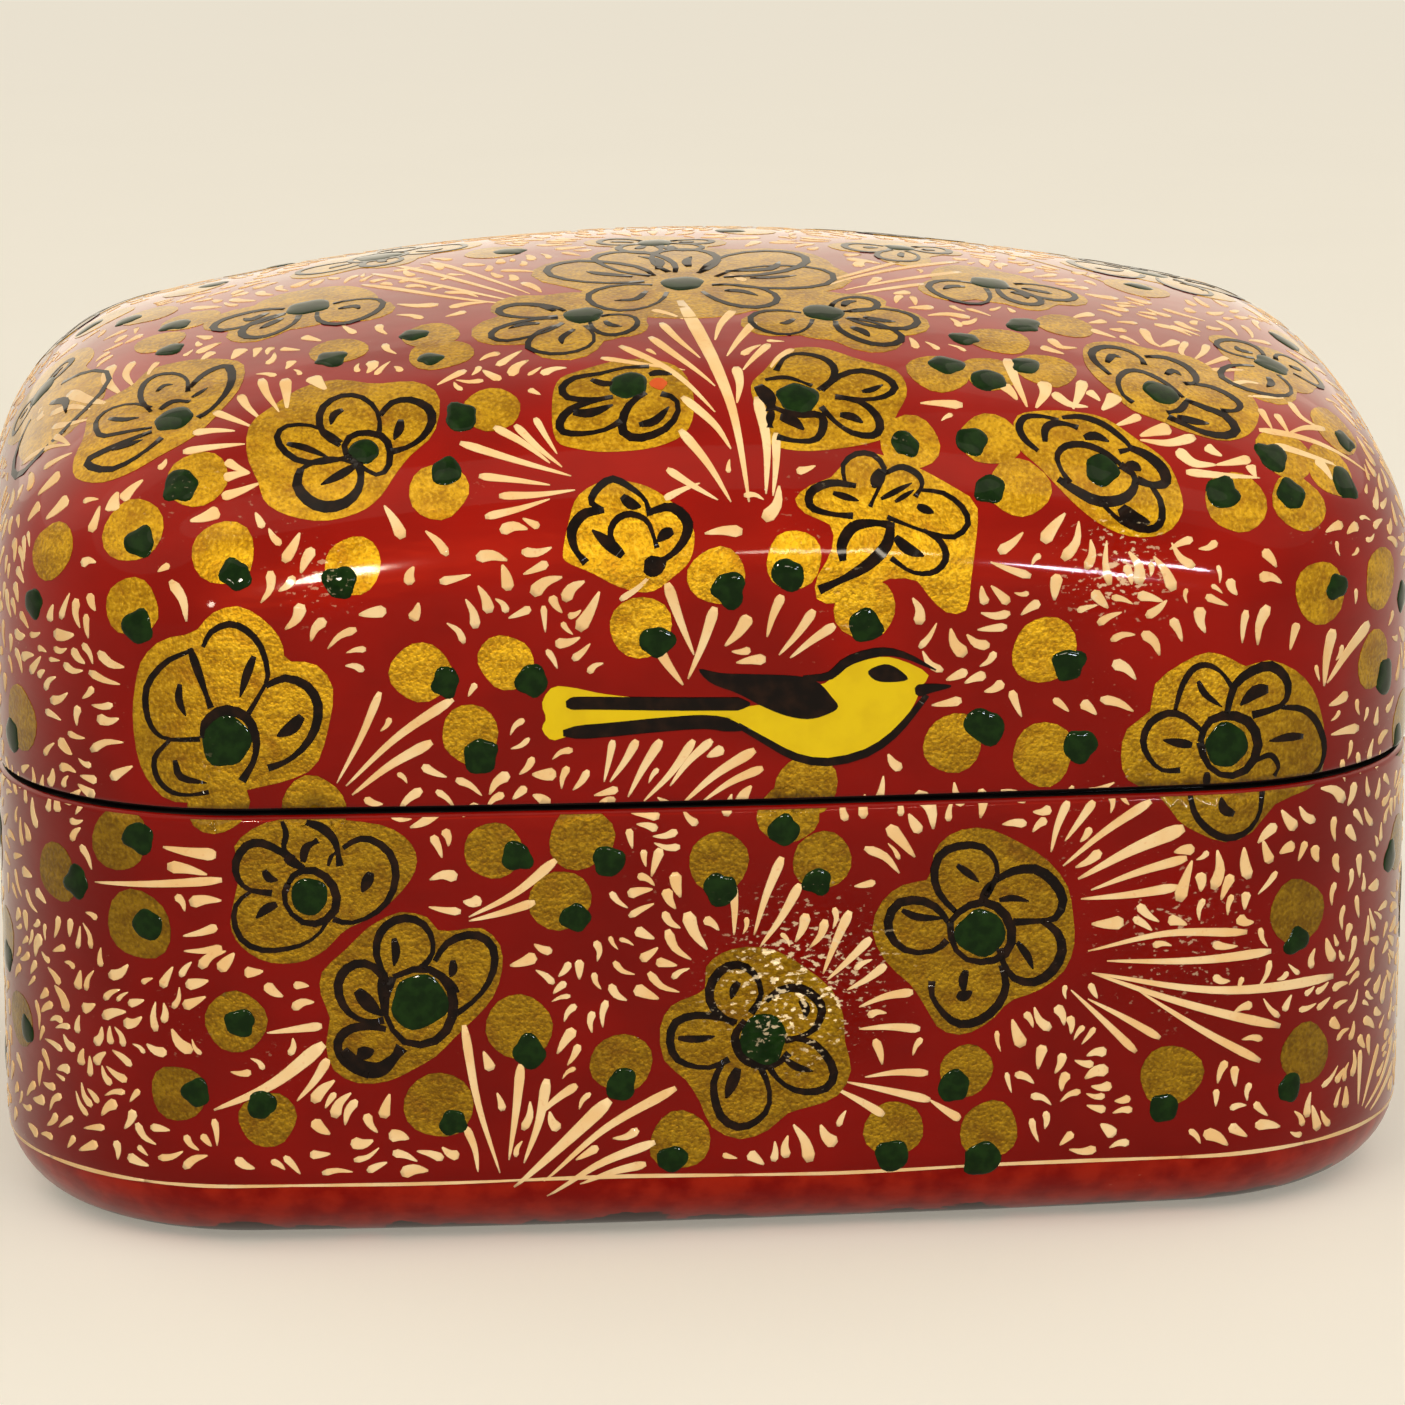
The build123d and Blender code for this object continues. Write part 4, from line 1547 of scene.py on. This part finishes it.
def clear_round(middle, radius):
    """Whether nothing is painted within this distance, nor the line below."""
    place, facing = middle
    if place.z < line_height + radius + line_gap:
        return False
    if not ground.is_free(place, bare_gap):
        return False
    for far in (0.5, 1.0):
        for i in range(8):
            toward = bearing(facing, tau * i / 8)
            if not ground.is_free(over(middle, toward, radius * far)[0], bare_gap):
                return False
    return True


def new_flower(middle):
    """Four or five petals, seldom evenly spaced: often they crowd to one side."""
    count = hand.choice((4, 4, 5, 5, 5))
    fan = hand.choice((0.72, 0.85, 1.0)) if count == 4 else hand.choice((0.88, 1.0))
    start = hand.uniform(0, tau)
    size = hand.uniform(7.2, 10.0)
    tips = []
    for i in range(count):
        angle = start + tau * fan * (i + hand.uniform(-0.20, 0.20)) / count
        toward = bearing(middle[1], angle)
        tips.append(over(middle, toward, size * hand.uniform(0.74, 1.18) * mm)[0])
    heart = hand.uniform(2.0, 2.9)
    ringed = hand.random() < 0.6
    flower(middle, tips, heart, ringed, margin=hand.uniform(0.9, 2.2))


def new_bud(middle):
    """A bud, and now and then one or two more beside it."""
    heading = hand.uniform(0, tau)
    for i in range(hand.choice((1, 1, 2, 3))):
        toward = bearing(middle[1], heading + i * 1.2)
        spot = over(middle, toward, i * 7.4 * mm) if i else middle
        if i and not clear_round(spot, 4.2 * mm):
            continue
        tip = over(spot, toward, hand.uniform(1.4, 3.2) * mm)
        bud(spot, tip, size=hand.uniform(2.9, 3.7), bead=hand.uniform(1.6, 2.1))


def new_spray(middle):
    """A fan of strokes that run together to one point."""
    heading = hand.uniform(0, tau)
    for i in range(hand.choice((3, 4, 5))):
        toward = bearing(middle[1], heading + (i - 1.5) * hand.uniform(0.24, 0.34))
        blunt, _ = over(middle, toward, hand.uniform(8.0, 13.5) * mm)
        point, _ = over(middle, toward, hand.uniform(0.4, 1.6) * mm)
        if blunt.z > line_height + line_gap and ground.is_free(blunt, 0.9 * mm):
            leaf_stroke([blunt, point], hand.uniform(1.0, 1.6), hand.uniform(-0.08, 0.08))


# The large marks go on first: (what, the room it needs in millimetres, how many places are tried).
rounds = (
    (new_flower, 14.0, 400),
    (new_spray, 9.0, 260),
    (new_flower, 11.5, 500),
    (new_bud, 5.2, 420),
    (new_spray, 6.5, 400),
    (new_bud, 4.6, 500),
)
for make, room, tries in rounds:
    for middle in bare_places(tries):
        if not in_sight(*middle) and clear_round(middle, room * mm):
            make(middle)


# ---------------------------------------------------------------------------
# Commas: short cream strokes that fill the ground. First a sunburst round each
# flower, pointing inwards, then scattered ones over whatever red is left.
# ---------------------------------------------------------------------------
def grain_of_rice(share):
    """Rounded, fat for most of its length and then pointed."""
    return min(0.40 + 3.6 * share, 0.16 + 0.84 * (1 - share**2.2) ** 0.9)


def comma(start, toward, length, width, loosely=0.0):
    """Paints one comma if there is room for it, and says whether there was."""
    place, facing = start
    toward = (toward - facing * toward.dot(facing)).normalized()
    middle, _ = over(start, toward, length * 0.5)
    end, _ = over(start, toward, length)
    if min(place.z, end.z) < line_height + line_gap:
        return False
    clearances = (width * 0.5, width * 0.3, 0.1 * mm)
    air = loosely * (0.35 + noise.noise(place / (16 * mm))) * mm
    gaps = zip((place, middle, end), clearances)
    if not all(ground.is_free(spot, gap + max(0, air)) for spot, gap in gaps):
        return False
    side = facing.cross(toward)
    bent = middle + side * (length * hand.uniform(-0.15, 0.15))
    cream.stroke([place, bent, end], width / mm, hand.choice((tapered, tapered, grain_of_rice)))
    return True


sunburst = 26  # commas tried round each flower
for place, radius in flowers:
    middle = touch(place)
    for i in range(sunburst):
        angle = tau * (i + hand.uniform(-0.25, 0.25)) / sunburst
        toward = bearing(middle[1], angle)
        length = hand.uniform(2.6, 4.6) * mm
        for away in (-3.0, -1.5, 0.0, 1.5):
            start = over(middle, toward, radius + length + away * mm)
            if comma(start, middle[0] - start[0], length, hand.uniform(1.0, 1.7) * mm):
                break

# Large commas and then small: how many places are tried, lengths and widths in millimetres.
comma_rounds = (
    (50000, (1.8, 3.2), (0.80, 1.45)),
    (24000, (1.4, 2.3), (0.60, 0.95)),
)
# The lid's front was filled more loosely than the rest.
front_from = -46 * mm
loose, close = 1.3, 0.35
for tries, length, width in comma_rounds:
    for middle in bare_places(tries):
        place, facing = middle
        loosely = loose if place.y < front_from and place.z > lid_bottom else close
        drift = noise.noise(place / (18 * mm)) * tau + hand.uniform(-0.7, 0.7)
        toward = bearing(facing, drift)
        comma(middle, toward, hand.uniform(*length) * mm, hand.uniform(*width) * mm, loosely)


# ---------------------------------------------------------------------------
# Cream line round the foot, drawn by hand in two dozen overlapping pulls where
# the red meets the plain band.
# ---------------------------------------------------------------------------
line_pulls = 26
pull_overlap = 1.04
line_drift = 0.45 * mm
foot_line = Paint(cream_paint, cream_thickness)
line_turn = asin(1 - line_height / foot_radius)
line_places = foot_ring(line_turn, foot_radius, 0, 0)
for i in range(line_pulls):
    stops = []
    for j in range(5):
        at = (i + (j / 4) * pull_overlap) / line_pulls * len(line_places)
        place = line_places[int(at) % len(line_places)]
        stops.append(place + Vector((0, 0, noise.noise(place / (25 * mm)) * line_drift)))
    foot_line.stroke(stops, hand.uniform(0.42, 0.56), loop_width, long_pull)


# ---------------------------------------------------------------------------
# The dry paint: each colour is one coat on the lid and one on the tray, and
# the saw's joint between them is cut open again.
# ---------------------------------------------------------------------------
gold.dry("lid_gold", "lid")
gold.dry("tray_gold", "base")
lines.dry("lid_outlines", "lid")
lines.dry("tray_outlines", "base")
green.dry("lid_beads", "lid")
green.dry("tray_beads", "base")
first_red.dry("lid_first_red", "lid")
cream.dry("lid_strokes", "lid")
cream.dry("tray_strokes", "base")
yellow.dry("bird", "lid")
foot_line.dry("foot_line", "base")
for form in (short_pull, long_pull, flat_dab, broad_dab, round_dab):
    bpy.data.meshes.remove(form)


# ---------------------------------------------------------------------------
# Floor, wall and light: a plain pale room that the varnish mirrors, soft lamps
# all round, and a few small bright panes for the glints.
# ---------------------------------------------------------------------------
room_pale = (0.815, 0.750, 0.625)
room_light = (0.230, 0.207, 0.175)
floor_pales = (0.780, 0.800, 0.800), (0.810, 0.830, 0.830)  # as it is looked at
floor_bounce = (0.140, 0.115, 0.095)  # as it lights the box, low enough to keep the red deep
open_floor = (0.45, 1.20)  # metres out, between which the floor turns into plain room
near_glow = 0.24
floor_half, wall_half = 6.0, 2.2  # metres
wall_behind = 1.9


def sheet(name, half_side, finish):
    """A flat square, such as a floor or a wall."""
    bm = bmesh.new()
    bmesh.ops.create_grid(bm, x_segments=1, y_segments=1, size=half_side)
    mesh = bpy.data.meshes.new(name)
    bm.to_mesh(mesh)
    bm.free()
    mesh.materials.append(finish.material)
    made = bpy.data.objects.new(name, mesh)
    bpy.context.scene.collection.objects.link(made)
    return made


floor_paint = Finish("floor_paint", roughness=0.75)
seen = floor_paint.looked_at()
cloth = floor_paint.grain(60, detail=3.0)
near_box = floor_paint.blend(seen, floor_bounce, floor_paint.blend(cloth, *floor_pales))
across_floor = floor_paint.node("ShaderNodeVectorMath", {"operation": "LENGTH"}, floor_paint.place, out=1)
far_out = across_floor.step(*open_floor)
floor_paint.colour(floor_paint.blend(far_out, near_box, unpainted))
floor_paint.glow(floor_paint.blend((near_glow + far_out * (1.0 - near_glow)) * seen, unpainted, room_pale))
floor = sheet("floor", floor_half, floor_paint)

wall_paint = Finish("wall_paint", roughness=0.9)
wall_paint.shader.inputs["Base Color"].default_value = (*unpainted, 1)
wall_paint.glow(wall_paint.blend(wall_paint.looked_at(), unpainted, room_pale))
backdrop = sheet("backdrop", wall_half, wall_paint)
backdrop.location = (0, wall_behind, wall_half)
backdrop.rotation_euler = (pi / 2, 0, 0)

world = bpy.data.worlds.new("room")
bpy.context.scene.world = world
world.use_nodes = True
room = Mix(world.node_tree)
room_colour = room.blend(room.looked_at(), room_light, room_pale)
room.links.new(room_colour.socket, room.nodes["Background"].inputs["Color"])


def lamp(name, turn, rise, distance, width, height, brightness, tint):
    """A soft lamp, placed by its turn from the front, its rise over the table and its distance."""
    light = bpy.data.lights.new(name, "AREA")
    light.shape = "ELLIPSE"
    light.size, light.size_y = width, height
    light.energy = brightness * pi * width * height
    light.color = tint
    made = bpy.data.objects.new(name, light)
    bpy.context.scene.collection.objects.link(made)
    turn, rise = radians(turn), radians(rise)
    aim = Vector((0, 0, 0.05))
    away = Vector((sin(turn) * cos(rise), -cos(turn) * cos(rise), sin(rise)))
    made.location = aim + away * distance
    made.rotation_euler = away.to_track_quat("Z", "Y").to_euler()
    made.visible_camera = False


warm = (1.0, 0.88, 0.70)
cool = (0.80, 0.86, 1.0)
# Turn and rise in degrees, distance, width and height in metres, brightness.
lamp("front_left", -62, 47, 1.8, 2.0, 2.0, 0.62, warm)
lamp("front_right", 62, 47, 1.8, 2.0, 2.0, 0.46, warm)
lamp("front_top", -2, 52, 2.0, 2.4, 0.9, 1.05, warm)
lamp("back_left", -122, 42, 1.8, 1.8, 1.8, 0.70, warm)
lamp("back_right", 122, 42, 1.8, 1.8, 1.8, 0.70, warm)
lamp("window", 180, 19, 1.75, 3.0, 1.3, 0.50, warm)
lamp("pane_left", -7.4, 12.5, 2.0, 0.12, 0.16, 190, warm)
lamp("pane_corner", -21, 7, 2.0, 0.09, 0.10, 80, warm)
lamp("pane_middle", 9, 7, 2.0, 0.24, 0.06, 40, warm)
lamp("pane_low", 16.8, 3.5, 2.0, 0.15, 0.06, 150, cool)
lamp("pane_high", 20.8, 11, 2.0, 0.13, 0.05, 150, cool)
